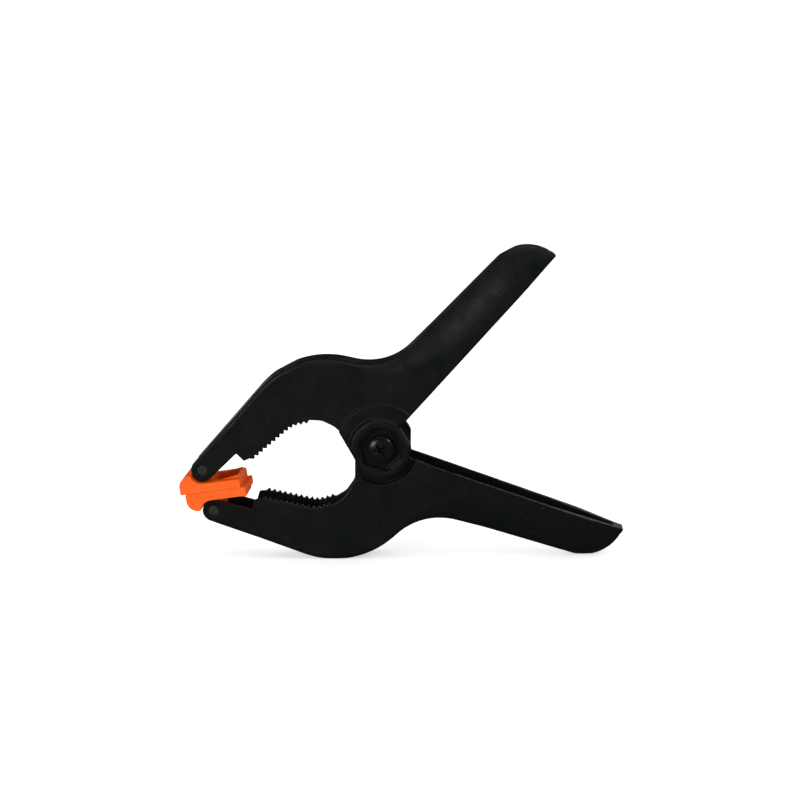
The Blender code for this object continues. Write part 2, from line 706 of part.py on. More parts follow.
def screw_mesh():
    """Pan-head screw along Y: head at -Y, in the near pocket, and thread end at +Y."""
    seat = -HEX_FLOOR - GAP
    end = nut_top() + THREAD_PAST_NUT
    top = seat - HEAD_HEIGHT
    dome = [(HEAD_RADIUS * math.cos(math.radians(a)),
             seat - HEAD_EDGE - (HEAD_HEIGHT - HEAD_EDGE) * math.sin(math.radians(a)))
            for a in range(0, 90, 15)]
    profile = [(0, end), (SCREW_RADIUS - SCREW_CHAMFER, end), (SCREW_RADIUS, end - SCREW_CHAMFER),
               (SCREW_RADIUS, seat), (HEAD_RADIUS, seat)] + dome + [(0, top)]
    screw = turned("screw", profile)
    for turn in (0, math.pi / 2):
        bm = bmesh.new()
        bmesh.ops.create_cone(bm, cap_ends=True, segments=4, radius1=CROSS_WIDTH * 0.35,
                              radius2=CROSS_WIDTH * 0.71, depth=CROSS_DEPTH + 2 * OVERLAP)
        bmesh.ops.rotate(bm, matrix=Matrix.Rotation(math.pi / 4, 3, "Z"), verts=bm.verts)
        for vert in bm.verts:
            vert.co.x *= CROSS_LENGTH / CROSS_WIDTH
        place = (Matrix.Translation((0, top + CROSS_DEPTH / 2 - OVERLAP, 0))
                 @ Matrix.Rotation(-CROSS_TURN - turn, 4, "Y") @ Matrix.Rotation(math.pi / 2, 4, "X"))
        bmesh.ops.transform(bm, matrix=place, verts=bm.verts)
        cut(screw, mesh_object("cross", bm))
    return screw


def washer_mesh():
    washer = rod("washer", WASHER_RADIUS, HEX_FLOOR + GAP, HEX_FLOOR + GAP + WASHER_THICKNESS)
    cut(washer, rod("washer_bore", BORE_RADIUS, 0, BOSS_FACE * 2))
    return washer


def nut_foot():
    return HEX_FLOOR + WASHER_THICKNESS + 2 * GAP


def nut_top():
    return nut_foot() + NUT_HEIGHT + NUT_COLLAR_HEIGHT


def nut_mesh():
    """Lock nut: a hexagon with a round collar that holds the insert."""
    radius = NUT_ACROSS_FLATS / 2 / math.cos(math.pi / 6)
    nut = rod("nut", radius, nut_foot(), nut_foot() + NUT_HEIGHT, sides=6, turn=math.radians(12))
    join(nut, rod("collar", NUT_COLLAR_RADIUS, nut_foot() + NUT_HEIGHT - OVERLAP, nut_top()))
    cut(nut, rod("nut_bore", BORE_RADIUS, 0, BOSS_FACE * 2),
        rod("insert_seat", insert_radius() + GAP, nut_top() - 2 * GAP - INSERT_THICKNESS,
            BOSS_FACE * 2))
    return nut


def insert_radius():
    return (NUT_COLLAR_RADIUS + BORE_RADIUS) / 2


def insert_mesh():
    """The nylon ring in the top of the lock nut."""
    high = nut_top() - GAP
    insert = rod("insert", insert_radius(), high - INSERT_THICKNESS, high)
    cut(insert, rod("insert_bore", BORE_RADIUS - GAP * 0.2, 0, BOSS_FACE * 2))
    return insert


# ---------------------------------------------------------------- spring

def leg_depth():
    """Depth of a leg's centre line under the handle's back, clear of the channel's round corner."""
    corner = HANDLE_EDGE_RADIUS - WALL
    room = corner * math.cos(math.pi / 4 / ROUND_STEPS) - WIRE_RADIUS - GAP
    aside = COIL_SPACE - GAP - WIRE_RADIUS - (HANDLE_MIDDLE_WIDTH / 2 - WALL - corner)
    return WEB + corner - math.sqrt(max(room ** 2 - max(aside, 0) ** 2, 0))


def leg_route():
    """A leg in the upper handle, from the coil outwards: tangent point, knee and foot end."""
    root = handle_point(HANDLE_ROOT, HANDLE_DEPTH_ROOT)
    end = handle_point(HANDLE_LENGTH, HANDLE_DEPTH_END)
    along_back = (end - root).normalized()
    off_back = Vector((along_back.y, -along_back.x)) * leg_depth()
    knee = root + along_back * (LEG_REACH - HANDLE_ROOT) + off_back
    reach = math.acos(COIL_RADIUS / knee.length)
    tangent = COIL_RADIUS * heading(math.atan2(knee.y, knee.x) + reach)
    return tangent, knee, knee + along_back * LEG_FOOT


def spring_points():
    """The wire's centre line: lower leg, coil about the screw, upper leg."""
    tangent, knee, foot = leg_route()
    start = math.atan2(tangent.y, tangent.x)
    sweep = math.tau * COIL_TURNS + 2 * (math.pi - start)
    half = COIL_SPACE - GAP - WIRE_RADIUS
    count = round(COIL_POINTS * sweep / math.tau)
    coil = []
    for i in range(count + 1):
        place = COIL_RADIUS * heading(start + sweep * i / count)
        coil.append(Vector((place.x, half - 2 * half * i / count, place.y)))
    out = (knee - tangent).normalized()
    foot_way = (foot - knee).normalized()
    leg = [tangent + out * LEG_BEND, (tangent + knee) / 2, knee - out * LEG_BEND,
           knee + (foot_way - out) * LEG_BEND * 0.2, knee + foot_way * LEG_BEND, foot]
    upper = [Vector((p.x, half, p.y)) for p in reversed(leg)]
    lower = [Vector((p.x, -half, -p.y)) for p in leg]
    return upper + coil + lower


def least_self_gap(points, samples=12):
    """Least gap between stretches of the wire that are more than half a turn apart."""
    fine = [a.lerp(b, i / samples) for a, b in zip(points, points[1:]) for i in range(samples)]
    places = np.array(fine)
    lengths = np.concatenate([[0.0], np.cumsum(np.linalg.norm(np.diff(places, axis=0), axis=1))])
    apart = np.linalg.norm(places[:, None] - places[None], axis=2)
    far = np.abs(lengths[:, None] - lengths[None]) > COIL_RADIUS * math.pi
    return apart[far].min() - 2 * WIRE_RADIUS


def spring_mesh():
    points = spring_points()
    print("spring: least gap to itself", round(least_self_gap(points) * 1000, 2), "mm")
    curve = bpy.data.curves.new("spring", "CURVE")
    curve.dimensions = "3D"
    curve.bevel_depth = WIRE_RADIUS
    curve.bevel_resolution = 1
    curve.use_fill_caps = True
    spline = curve.splines.new("POLY")
    spline.points.add(len(points) - 1)
    for point, place in zip(spline.points, points):
        point.co = (*place, 1)
    return solid_from_curve(add_object("spring", curve, CUTTERS))


# ---------------------------------------------------------------- assembly

def piece(name, mesh, look, parent, place=(0, 0, 0), turn=(0, 0, 0)):
    """A named part under its parent empty, with its own material."""
    made = add_object(name, mesh, PARTS)
    made.parent = parent
    made.location = place
    made.rotation_euler = turn
    mesh.shade_smooth()
    mesh.set_sharp_from_angle(angle=math.radians(30))
    mesh.materials.clear()
    mesh.materials.append(look)
    return made


def empty(name, parent=None, place=(0, 0, 0), turn=(0, 0, 0)):
    made = add_object(name, None, PARTS)
    made.parent = parent
    made.location = place
    made.rotation_euler = turn
    return made


def lone_mesh(source):
    """The mesh of a construction object, which is removed."""
    mesh = source.data
    bpy.data.objects.remove(source, do_unlink=True)
    return mesh


def assemble():
    black = material("black_plastic", BLACK_PLASTIC)
    orange = material("orange_plastic", ORANGE_PLASTIC)
    dark_pin = material("dark_pin", DARK_PIN)
    zinc = material("zinc_steel", ZINC_STEEL)
    lean, height = rest_line()
    clamp = empty("clamp", turn=(0, -lean, 0), place=(0, 0, height))
    lower = empty("lower_side", clamp, turn=(math.pi, 0, 0))
    upper = empty("jaw_hinge", clamp)
    arm, pad, pin = lone_mesh(arm_mesh()), lone_mesh(pad_mesh()), lone_mesh(pin_mesh())
    pin_place = (PIN.x, 0, PIN.y)
    for side, parent, pad_turn in (("upper", upper, PAD_LEAN), ("lower", lower, -PAD_LEAN)):
        piece(f"{side}_arm", arm, black, parent)
        piece(f"{side}_pad_pin", pin, dark_pin, parent, pin_place)
        swivel = empty(f"{side}_pad_swivel", parent, pin_place, (0, pad_turn, 0))
        piece(f"{side}_pad", pad, orange, swivel)
    piece("torsion_spring", lone_mesh(spring_mesh()), material("spring_steel", SPRING_STEEL), clamp)
    piece("pivot_screw", lone_mesh(screw_mesh()), material("black_steel", BLACK_STEEL), clamp)
    piece("pivot_washer", lone_mesh(washer_mesh()), zinc, clamp)
    piece("lock_nut", lone_mesh(nut_mesh()), zinc, clamp)
    piece("nut_insert", lone_mesh(insert_mesh()), material("nylon", NYLON), clamp)
    return clamp


def centre_over_origin(clamp):
    """Move the clamp so that its box stands on z = 0 with its centre over the origin."""
    bpy.context.view_layer.update()
    corners = [part.matrix_world @ vert.co for part in PARTS.objects if part.data
               for vert in part.data.vertices]
    for axis in (0, 1):
        values = [corner[axis] for corner in corners]
        clamp.location[axis] -= (min(values) + max(values)) / 2
    clamp.location.z -= min(corner.z for corner in corners)
    bpy.context.view_layer.update()


clear_scene()
PARTS = new_collection("spring_clamp")
CUTTERS = new_collection("cutters")
centre_over_origin(assemble())
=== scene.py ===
"""Looks of the spring clamp: finely moulded arms, pads, screw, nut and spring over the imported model.

Metres, +Z up. Pieces are modelled in the clamp's own plane, where u runs from the jaws to the handles, w from
the centre line out to the upper arm and the pivot is at 0, 0, and are then turned into the row's frame.
"""
import json
import math

import bmesh
import bpy
import numpy as np
from mathutils import Matrix, Vector

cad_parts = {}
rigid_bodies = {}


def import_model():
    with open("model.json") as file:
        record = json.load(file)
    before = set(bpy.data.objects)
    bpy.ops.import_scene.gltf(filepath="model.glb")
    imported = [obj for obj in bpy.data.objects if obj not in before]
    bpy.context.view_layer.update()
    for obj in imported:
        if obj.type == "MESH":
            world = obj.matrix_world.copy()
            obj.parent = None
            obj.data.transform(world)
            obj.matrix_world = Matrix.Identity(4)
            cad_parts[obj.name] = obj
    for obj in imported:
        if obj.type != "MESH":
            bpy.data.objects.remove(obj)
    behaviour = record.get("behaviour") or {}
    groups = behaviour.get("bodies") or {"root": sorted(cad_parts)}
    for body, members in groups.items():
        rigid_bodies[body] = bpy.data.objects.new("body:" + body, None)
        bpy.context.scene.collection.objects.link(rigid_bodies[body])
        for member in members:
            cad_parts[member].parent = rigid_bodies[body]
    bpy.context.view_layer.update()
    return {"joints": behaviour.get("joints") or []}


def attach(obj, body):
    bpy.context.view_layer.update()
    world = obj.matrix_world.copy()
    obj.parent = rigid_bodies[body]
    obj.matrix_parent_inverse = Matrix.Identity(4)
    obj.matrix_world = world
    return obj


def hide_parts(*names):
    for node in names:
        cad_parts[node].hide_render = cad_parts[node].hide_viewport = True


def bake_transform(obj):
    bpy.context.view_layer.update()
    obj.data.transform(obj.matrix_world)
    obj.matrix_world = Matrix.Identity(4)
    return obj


for old in list(bpy.data.objects):
    bpy.data.objects.remove(old, do_unlink=True)
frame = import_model()

# -------- sizes in metres, as in the CAD model

GAP = 0.0003
OVERLAP = 0.0002
WELD = 0.000001

PAD_FRONT = 0.0090
PAD_REAR = 0.0133
PAD_WIDTH = 0.0194
PAD_PLATE = 0.0031
PAD_PIN_HEIGHT = 0.0076
PAD_NOSE_HEIGHT = 0.0066
PAD_RIM_HEIGHT = 0.0042
PAD_RIM_WIDTH = 0.0134
PAD_RIM_WALL = 0.0012
PAD_FLOOR = 0.0015
PAD_LUG_RADIUS = 0.0036
PAD_NOSE_RADIUS = 0.0042
PAD_EDGE_RADIUS = 0.0006
PAD_FINE_RADIUS = 0.0003
PAD_LEAN = math.radians(6.2)
PIN_RADIUS = 0.00165

PIN_AHEAD = 0.0656
TIP_RADIUS = 0.0042
JAW_WIDTH = 0.0150
JAW_BACK_SLOPE = math.radians(34.3)
JAW_BAR_SLOPE = math.radians(29.6)
NOTCH_AHEAD = 0.0518
STEP_AHEAD = 0.0498
STEP_HEIGHT = 0.00745
TEETH_START_AHEAD = 0.0474
TEETH_START_HEIGHT = 0.0079
TEETH_END_AHEAD = 0.0227
TEETH_END_HEIGHT = 0.01635
TEETH_TOP_AHEAD = 0.0294
TEETH_TOP_HEIGHT = 0.0167
TEETH_TOP_RADIUS = 0.0090
TOOTH_PITCH = 0.0020
THROAT_RADIUS = 0.0060
THROAT_FIRST_AHEAD = 0.0182
THROAT_FIRST_HEIGHT = 0.0150
THROAT_SECOND_AHEAD = 0.0146
THROAT_SECOND_HEIGHT = 0.0119
BACK_AT_NOTCH = 0.0595
BACK_AT_STEP = 0.0540
BACK_AT_FIRST_TOOTH = 0.0525
BACK_AT_LAST_TOOTH = 0.0307
BACK_AT_THROAT = 0.0090

CROWN_AHEAD = 0.0219
CROWN_FALL = math.radians(27.0)
CROWN_RADIUS = 0.0325
WAIST_RADIUS = 0.0220
WALL = 0.0019
WEB = 0.0026
CHANNEL_CORNER = 0.0005

HANDLE_ANGLE = math.radians(33.5)
HANDLE_LENGTH = 0.0935
HANDLE_DEPTH_ROOT = 0.0171
HANDLE_DEPTH_END = 0.0147
HANDLE_ROOT = 0.0354
HANDLE_ROOT_BACK = 0.0236
HANDLE_END_RADIUS = 0.0154
HANDLE_END_FACE = 0.0020
HANDLE_END_WALL = 0.0040
HANDLE_ROOT_WIDTH = 0.0172
HANDLE_MIDDLE_WIDTH = 0.0151
HANDLE_END_WIDTH = 0.0106
HANDLE_TIP_WIDTH = 0.0069
HANDLE_EDGE_RADIUS = 0.0066
TIP_EDGE_RADIUS = 0.0008
END_EDGE_RADIUS = 0.0022

LUG_LEAN = math.radians(15.3)
LUG_WIDTH = 0.0204
EAR_RADIUS = 0.0110
EAR_PLATEAU_RADIUS = 0.0164
EAR_RECESS_RADIUS = 0.0134
EAR_THICKNESS = 0.0026
INNER_EAR_RADIUS = 0.0098
INNER_EAR_WIDTH = 0.0190
INNER_EAR_THICKNESS = 0.0015
INNER_EAR_FACE = 0.0061
BOSS_HEIGHT = 0.0020
BOSS_CHAMFER = 0.0007
HEX_ACROSS_FLATS = 0.0142
HEX_DEPTH = 0.0030
SPIGOT_RADIUS = 0.0043

SCREW_RADIUS = 0.0025
HEAD_RADIUS = 0.0050
HEAD_HEIGHT = 0.0028
HEAD_EDGE = 0.0009
CROSS_LENGTH = 0.0056
CROSS_WIDTH = 0.0011
CROSS_DEPTH = 0.0018
CROSS_TURN = math.radians(23)
WASHER_RADIUS = 0.0060
WASHER_THICKNESS = 0.0010
NUT_ACROSS_FLATS = 0.0080
NUT_HEIGHT = 0.0036
NUT_COLLAR_RADIUS = 0.0037
NUT_COLLAR_HEIGHT = 0.0012
INSERT_THICKNESS = 0.0008
THREAD_PAST_NUT = 0.0008

WIRE_RADIUS = 0.0011
COIL_GAP = 0.0005
COIL_TURNS = 2
LEG_REACH = 0.0440
LEG_FOOT = 0.0090

REST_FLAT = 0.00035

# -------- sizes that are finer here or only here

ARC_ERROR = 0.000008
CIRCLE_SIDES = 128
ROUND_STEPS = 12                # round an arm's back edge
CHANNEL_SECTIONS = 140
EAR_STATIONS, ROOT_STATIONS, HANDLE_STATIONS, END_STATIONS = 24, 24, 20, 30
SHARP_ANGLE = math.radians(38)

ARM_VOXEL = 0.00024             # grid that rounds the moulded edges
ARM_KEEP = 0.40                 # share of the remeshed faces that is kept
ARM_SMOOTHING = 4
PAD_VOXEL = 0.00016
PAD_KEEP = 0.45
PAD_SMOOTHING = 1

TIP_TOP_START = math.radians(195)
TIP_BOTTOM_START = math.radians(225)
TOOTH_HEIGHT = 0.00130          # taller, because moulding blunts the teeth
JAW_EDGE_RADIUS = 0.0019
WIDEST_AT = 0.5                 # share of the way from the hinge to the handle's root
END_TAPER = 0.75                # how many end radii from its end the handle narrows quickly,
END_EDGE_TAPER = 1.5            # and its edges get sharper
ROUND_LIMITS = 0.9, 0.8         # most of a section's half width and of its depth that is rounded
CROWN_LIMIT = 0.95              # most of its depth that is crowned
HANDLE_CROWN = 0.0140           # how far the handle's rounded back reaches down its sides
CHANNEL_CROWN = 0.6             # share of that reach which the hollow inside follows
SIDE_TAPER = 0.5                # share of the handle's rounding that is an even taper
CUTTER_REACH = 1.5              # of the handle's length
BOSS_ROUNDING = 0.0015          # broad rounding of the boss's rim
BOSS_TOP_RADIUS = 0.0114        # of the boss's upper half
POCKET_MOUTH = 0.0011           # depth of the round counterbore over the hexagonal pocket

FACE_PROUD = 0.00014            # how far the gripping faces close the gap between them
NOSE_LIMIT = 0.9                # highest place of the nose on the round seat, against its radius
HOLLOW_FRONT = 0.9              # against the plate's distance from the pin
LUG_FOOT_HALF = 0.94            # against the lug's radius
LUG_FOOT_TOP = 0.34
PIN_END_GAP = 0.00006           # between a riveted pin end and its hole
PIN_END_EDGE = 0.0001
PIN_END_DOME = 0.0001

HEAD_FOOT_EDGES = 0.0003, 0.0001    # how the head's underside turns into its side
HEAD_FINE_EDGE = 0.00008
CROSS_FLOOR = 0.35              # corner radius of a blade of the cross at its floor and its mouth,
CROSS_MOUTH = 0.71              # against its width
SHANK_IN_HEAD = 0.0004
SHANK_START = 0.0003
SHANK_CHAMFER = 0.0005
THREAD_STEP = 0.0001
THREAD_PITCH = 0.0008
THREAD_DEPTH = 0.00045
THREAD_SHARPNESS = 0.8
THREAD_FADE = 0.0015            # how gradually the thread starts from the middle, and how it stops
THREAD_END_FADE = 0.0002
THREAD_CORE = 0.75              # points inside this share of the shank's radius have no thread
WASHER_EDGE = 0.00015
NUT_TURN = math.radians(12)
NUT_CHAMFER = math.radians(30)
NUT_CHAMFER_DROP = 1.4          # how far the chamfer runs down the corners, against a plain cone's
NUT_FACE = 0.97                 # share of the flats' reach that stays flat on both faces
NUT_FINE_EDGE = 0.0001
COLLAR_ROUNDING = 0.0005
INSERT_EDGE = 0.00012
INSERT_GRIP = 0.2               # of the gap, closed round the thread

COIL_STEPS = 36                 # in a turn
WIRE_STEPS = 6
LEG_BEND = 0.0045
LEG_STARTS = 0.0008, 0.0020     # first two points of a leg past the coil
WIRE_END = 0.85                 # against the wire's radius

# Worked out from the sizes above
ORIGIN = Vector((0, 0))
HALF_JAW = JAW_WIDTH / 2
OUTER_EAR_FACE = INNER_EAR_FACE + GAP
BOSS_FOOT = OUTER_EAR_FACE + EAR_THICKNESS
BOSS_FACE = BOSS_FOOT + BOSS_HEIGHT
HEX_FLOOR = BOSS_FACE - HEX_DEPTH
COIL_SPACE = INNER_EAR_FACE - INNER_EAR_THICKNESS
BORE_RADIUS = SCREW_RADIUS + GAP
PIN_BORE_RADIUS = PIN_RADIUS + GAP
NUT_FOOT = HEX_FLOOR + WASHER_THICKNESS + 2 * GAP
NUT_TOP = NUT_FOOT + NUT_HEIGHT + NUT_COLLAR_HEIGHT
SCREW_END = NUT_TOP + THREAD_PAST_NUT
INSERT_RADIUS = (NUT_COLLAR_RADIUS + BORE_RADIUS) / 2
PIN = Vector((-PIN_AHEAD, (PAD_PIN_HEIGHT + GAP / 2) / math.cos(PAD_LEAN)))
STEP = Vector((-STEP_AHEAD, STEP_HEIGHT))
TEETH_START = Vector((-TEETH_START_AHEAD, TEETH_START_HEIGHT))
TEETH_TOP = Vector((-TEETH_TOP_AHEAD, TEETH_TOP_HEIGHT))
TEETH_END = Vector((-TEETH_END_AHEAD, TEETH_END_HEIGHT))
THROAT_FIRST = Vector((-THROAT_FIRST_AHEAD, THROAT_FIRST_HEIGHT))
THROAT_SECOND = Vector((-THROAT_SECOND_AHEAD, THROAT_SECOND_HEIGHT))
COIL_RADIUS = SPIGOT_RADIUS + COIL_GAP + WIRE_RADIUS
ALONG_HANDLE = Vector((math.cos(HANDLE_ANGLE), math.sin(HANDLE_ANGLE)))
ACROSS_HANDLE = Vector((-ALONG_HANDLE.y, ALONG_HANDLE.x))
LUG_DOWN = Vector((math.sin(LUG_LEAN), -math.cos(LUG_LEAN)))
LUG_SIDE = Vector((math.cos(LUG_LEAN), math.sin(LUG_LEAN)))
ROOT_U = HANDLE_ROOT * ALONG_HANDLE.x
END_U = HANDLE_LENGTH * ALONG_HANDLE.x


# -------- outlines in the u, w plane

def crossing(start, direction, other_start, other_direction):
    """Where two lines in the plane meet."""
    spread = direction.x * other_direction.y - direction.y * other_direction.x
    away = other_start - start
    return start + direction * ((away.x * other_direction.y - away.y * other_direction.x) / spread)


def heading(angle):
    return Vector((math.cos(angle), math.sin(angle)))


def arc(centre, radius, start, end):
    """Points along an arc, both ends included."""
    steps = max(2, math.ceil(abs(end - start) / (2 * math.acos(1 - ARC_ERROR / radius))))
    return [centre + radius * heading(start + (end - start) * i / steps) for i in range(steps + 1)]


def fillet_centre(before, corner, after, radius):
    to_before = (before - corner).normalized()
    to_after = (after - corner).normalized()
    half = to_before.angle(to_after) / 2
    return corner + (to_before + to_after).normalized() * (radius / math.sin(half))


def fillet_arc(before, corner, after, radius):
    """Centre, first angle and turn of the arc that rounds a corner."""
    centre = fillet_centre(before, corner, after, radius)
    ways = [(before - corner).normalized(), (after - corner).normalized()]
    ends = [corner + way * way.dot(centre - corner) - centre for way in ways]
    first, last = (math.atan2(end.y, end.x) for end in ends)
    return centre, first, math.remainder(last - first, math.tau)


def filleted(corners):
    """An outline from corner points with a radius each; a radius of 0 leaves the corner sharp."""
    points = []
    for i, (corner, radius) in enumerate(corners):
        if radius == 0:
            points.append(corner)
            continue
        before, after = corners[i - 1][0], corners[(i + 1) % len(corners)][0]
        centre, first, turn = fillet_arc(before, corner, after, radius)
        points += arc(centre, radius, first, first + turn)
    return points


def path_lengths(path):
    steps = [(b - a).length for a, b in zip(path, path[1:])]
    return np.concatenate([[0.0], np.cumsum(steps)])


def stretch(path, start, end, count):
    """count points after the one at length start, the last of them at length end."""
    lengths, (us, ws) = path_lengths(path), zip(*path)
    wanted = [start + (end - start) * (i + 1) / count for i in range(count)]
    return [Vector((np.interp(s, lengths, us), np.interp(s, lengths, ws))) for s in wanted]


def straight(start, end, count):
    """count points on a straight line, after its start and up to its end."""
    return stretch([start, end], 0, (end - start).length, count)


def inset_path(path, depth):
    """The path moved to its right by depth."""
    moved = []
    for i, point in enumerate(path):
        way = (path[min(i + 1, len(path) - 1)] - path[max(i - 1, 0)]).normalized()
        moved.append(point + Vector((way.y, -way.x)) * depth)
    return moved


def length_at(path, u):
    return float(np.interp(u, [p.x for p in path], path_lengths(path)))


def handle_point(along, depth):
    return ALONG_HANDLE * along + ACROSS_HANDLE * depth


def lug_point(down, side):
    return LUG_DOWN * down + LUG_SIDE * side


# -------- mesh helpers

def add_object(name, mesh):
    made = bpy.data.objects.new(name, mesh)
    bpy.context.scene.collection.objects.link(made)
    return made


def mesh_object(name, bm):
    bmesh.ops.recalc_face_normals(bm, faces=bm.faces)
    mesh = bpy.data.meshes.new(name)
    bm.to_mesh(mesh)
    bm.free()
    return add_object(name, mesh)


def evaluated_mesh(source):
    graph = bpy.context.evaluated_depsgraph_get()
    graph.update()
    return bpy.data.meshes.new_from_object(source.evaluated_get(graph), depsgraph=graph)


def baked(source):
    """The object with its modifiers and its placing worked into a mesh of its own."""
    mesh = evaluated_mesh(source)
    mesh.transform(source.matrix_world)
    source.modifiers.clear()
    source.data = mesh
    source.matrix_world = Matrix.Identity(4)
    return source


def combine(body, tools, operation):
    """Join or cut body with all the tools in one step, and remove the tools."""
    group = bpy.data.collections.new("tools")
    bpy.context.scene.collection.children.link(group)
    for tool in tools:
        group.objects.link(tool)
    modifier = body.modifiers.new("combine", "BOOLEAN")
    modifier.operation = operation
    modifier.solver = "EXACT"
    modifier.operand_type = "COLLECTION"
    modifier.collection = group
    bpy.context.view_layer.update()
    baked(body)
    for tool in tools:
        bpy.data.objects.remove(tool, do_unlink=True)
    bpy.data.collections.remove(group)


def cut(body, *tools):
    combine(body, tools, "DIFFERENCE")


def join(body, *tools):
    combine(body, tools, "UNION")


def poly_curve(name, dimensions, places):
    """A curve and its one spline, straight from place to place."""
    curve = bpy.data.curves.new(name, "CURVE")
    curve.dimensions = dimensions
    spline = curve.splines.new("POLY")
    spline.points.add(len(places) - 1)
    for point, place in zip(spline.points, places):
        point.co = (*place, 1)
    return curve, spline


def slab(name, outline, low, high):
    """A flat outline in the u, w plane, from y = low to y = high."""
    curve, spline = poly_curve(name, "2D", [(p.x, p.y, 0) for p in outline])
    curve.fill_mode = "BOTH"
    curve.extrude = (high - low) / 2
    spline.use_cyclic_u = True
    flat = add_object(name, curve)
    flat.rotation_euler.x = math.pi / 2
    flat.location.y = (low + high) / 2
    bpy.context.view_layer.update()
    return solid_from_curve(flat)


def solid_from_curve(source):
    bm = bmesh.new()
    bm.from_mesh(evaluated_mesh(source))
    bmesh.ops.transform(bm, matrix=source.matrix_world, verts=bm.verts)
    bmesh.ops.remove_doubles(bm, verts=bm.verts, dist=WELD)
    name = source.name
    bpy.data.objects.remove(source, do_unlink=True)
    return mesh_object(name, bm)


def rod(name, radius, low, high, centre=ORIGIN, sides=CIRCLE_SIDES, turn=0.0):
    """A cylinder or prism along Y."""
    bm = bmesh.new()
    bmesh.ops.create_cone(bm, cap_ends=True, segments=sides, radius1=radius, radius2=radius,
                          depth=high - low)
    place = (Matrix.Translation((centre.x, (low + high) / 2, centre.y))
             @ Matrix.Rotation(math.pi / 2, 4, "X") @ Matrix.Rotation(turn, 4, "Z"))
    bmesh.ops.transform(bm, matrix=place, verts=bm.verts)
    return mesh_object(name, bm)


def block(name, low, high):
    bm = bmesh.new()
    bmesh.ops.create_cube(bm, size=1.0)
    low, high = Vector(low), Vector(high)
    place = Matrix.Translation((low + high) / 2) @ Matrix.Diagonal((*(high - low), 1))
    bmesh.ops.transform(bm, matrix=place, verts=bm.verts)
    return mesh_object(name, bm)


def turned_ring(bm, radius, y, sides, shape):
    """A ring of points about Y, or one point if its radius is 0."""
    if radius <= 0:
        return [bm.verts.new((0, y, 0))]
    ring = []
    for i in range(sides):
        angle = math.tau * i / sides
        r = shape(radius, y, angle) if shape else radius
        ring.append(bm.verts.new((r * math.cos(angle), y, r * math.sin(angle))))
    return ring


def lathe(name, profile, sides=CIRCLE_SIDES, shape=None, hollow=False):
    """A body turned about Y from (radius, y) points; shape may change a point's radius."""
    bm = bmesh.new()
    rings = [turned_ring(bm, radius, y, sides, shape) for radius, y in profile]
    for a, b in zip(rings, rings[1:] + rings[:1] if hollow else rings[1:]):
        for i in range(sides):
            j = (i + 1) % sides
            if len(a) == 1:
                bm.faces.new((a[0], b[j], b[i]))
            elif len(b) == 1:
                bm.faces.new((a[i], a[j], b[0]))
            else:
                bm.faces.new((a[i], a[j], b[j], b[i]))
    return mesh_object(name, bm)


def ring_object(name, inner, outer, low, high, edge):
    """A flat ring along Y with rounded edges."""
    corners = [(inner, low), (outer, low), (outer, high), (inner, high)]
    profile = []
    for i, corner in enumerate(corners):
        profile += round_corner(corners[i - 1], corner, corners[(i + 1) % len(corners)], edge, steps=4)
    return lathe(name, profile, hollow=True)


def round_corner(before, corner, after, radius, steps=5):
    """Points that round a profile's corner."""
    centre, first, turn = fillet_arc(Vector(before), Vector(corner), Vector(after), radius)
    return [tuple(centre + radius * heading(first + turn * i / steps)) for i in range(steps + 1)]


def rounded_profile(points):
    """A profile from (radius, y, rounding) points."""
    out = []
    for i, (r, y, rounding) in enumerate(points):
        if rounding:
            out += round_corner(points[i - 1][:2], (r, y), points[i + 1][:2], rounding)
        else:
            out.append((r, y))
    return out


def fine_edges(source, width, angle):
    """Bevel the edges of a solid that are sharper than angle, in degrees."""
    edges = source.modifiers.new("edges", "BEVEL")
    edges.width = width
    edges.segments = 2
    edges.limit_method = "ANGLE"
    edges.angle_limit = math.radians(angle)
    bpy.context.view_layer.update()
    return baked(source)


def joined(name, objects):
    """Several objects as one mesh."""
    bm = bmesh.new()
    for source in objects:
        bm.from_mesh(source.data)
        bpy.data.objects.remove(source, do_unlink=True)
    return mesh_object(name, bm)


def moulded(source, voxel, keep, smooth):
    """Round every edge of a solid a little, as a mould does, and leave an even mesh."""
    remesh = source.modifiers.new("remesh", "REMESH")
    remesh.mode = "VOXEL"
    remesh.voxel_size = voxel
    remesh.use_smooth_shade = True
    soften = source.modifiers.new("soften", "SMOOTH")
    soften.factor = 0.5
    soften.iterations = smooth
    fewer = source.modifiers.new("fewer", "DECIMATE")
    fewer.ratio = keep
    bpy.context.view_layer.update()
    return baked(source)


# -------- arm

def back_corners():
    """Corners of the arm's back, from the jaw tip to the end of the handle."""
    tangent = PIN + TIP_RADIUS * heading(JAW_BACK_SLOPE + math.pi / 2)
    jaw_back = heading(JAW_BACK_SLOPE)
    crown = crossing(tangent, jaw_back, Vector((-CROWN_AHEAD, 0)), Vector((0, 1)))
    root = handle_point(HANDLE_ROOT, HANDLE_DEPTH_ROOT)
    end = handle_point(HANDLE_LENGTH, HANDLE_DEPTH_END)
    waist = crossing(crown, heading(-CROWN_FALL), root, end - root)
    return [(tangent, 0), (crown, CROWN_RADIUS), (waist, WAIST_RADIUS),
            (end, HANDLE_END_RADIUS), (handle_point(HANDLE_LENGTH, HANDLE_END_FACE), 0)]


def handle_corner():
    """Where the handle's inner edge meets the ear's rear flat."""
    return crossing(ORIGIN, ALONG_HANDLE, lug_point(0, LUG_WIDTH / 2), LUG_DOWN)


def flat_end(radius, half):
    """Where the front flat of an ear of this half width meets a circle about the screw."""
    return lug_point(-math.sqrt(radius ** 2 - half ** 2), -half)


def jaw_bar_start():
    return PIN + TIP_RADIUS * heading(JAW_BAR_SLOPE - math.pi / 2)


def notch():
    return crossing(jaw_bar_start(), heading(JAW_BAR_SLOPE), Vector((-NOTCH_AHEAD, 0)), Vector((0, 1)))


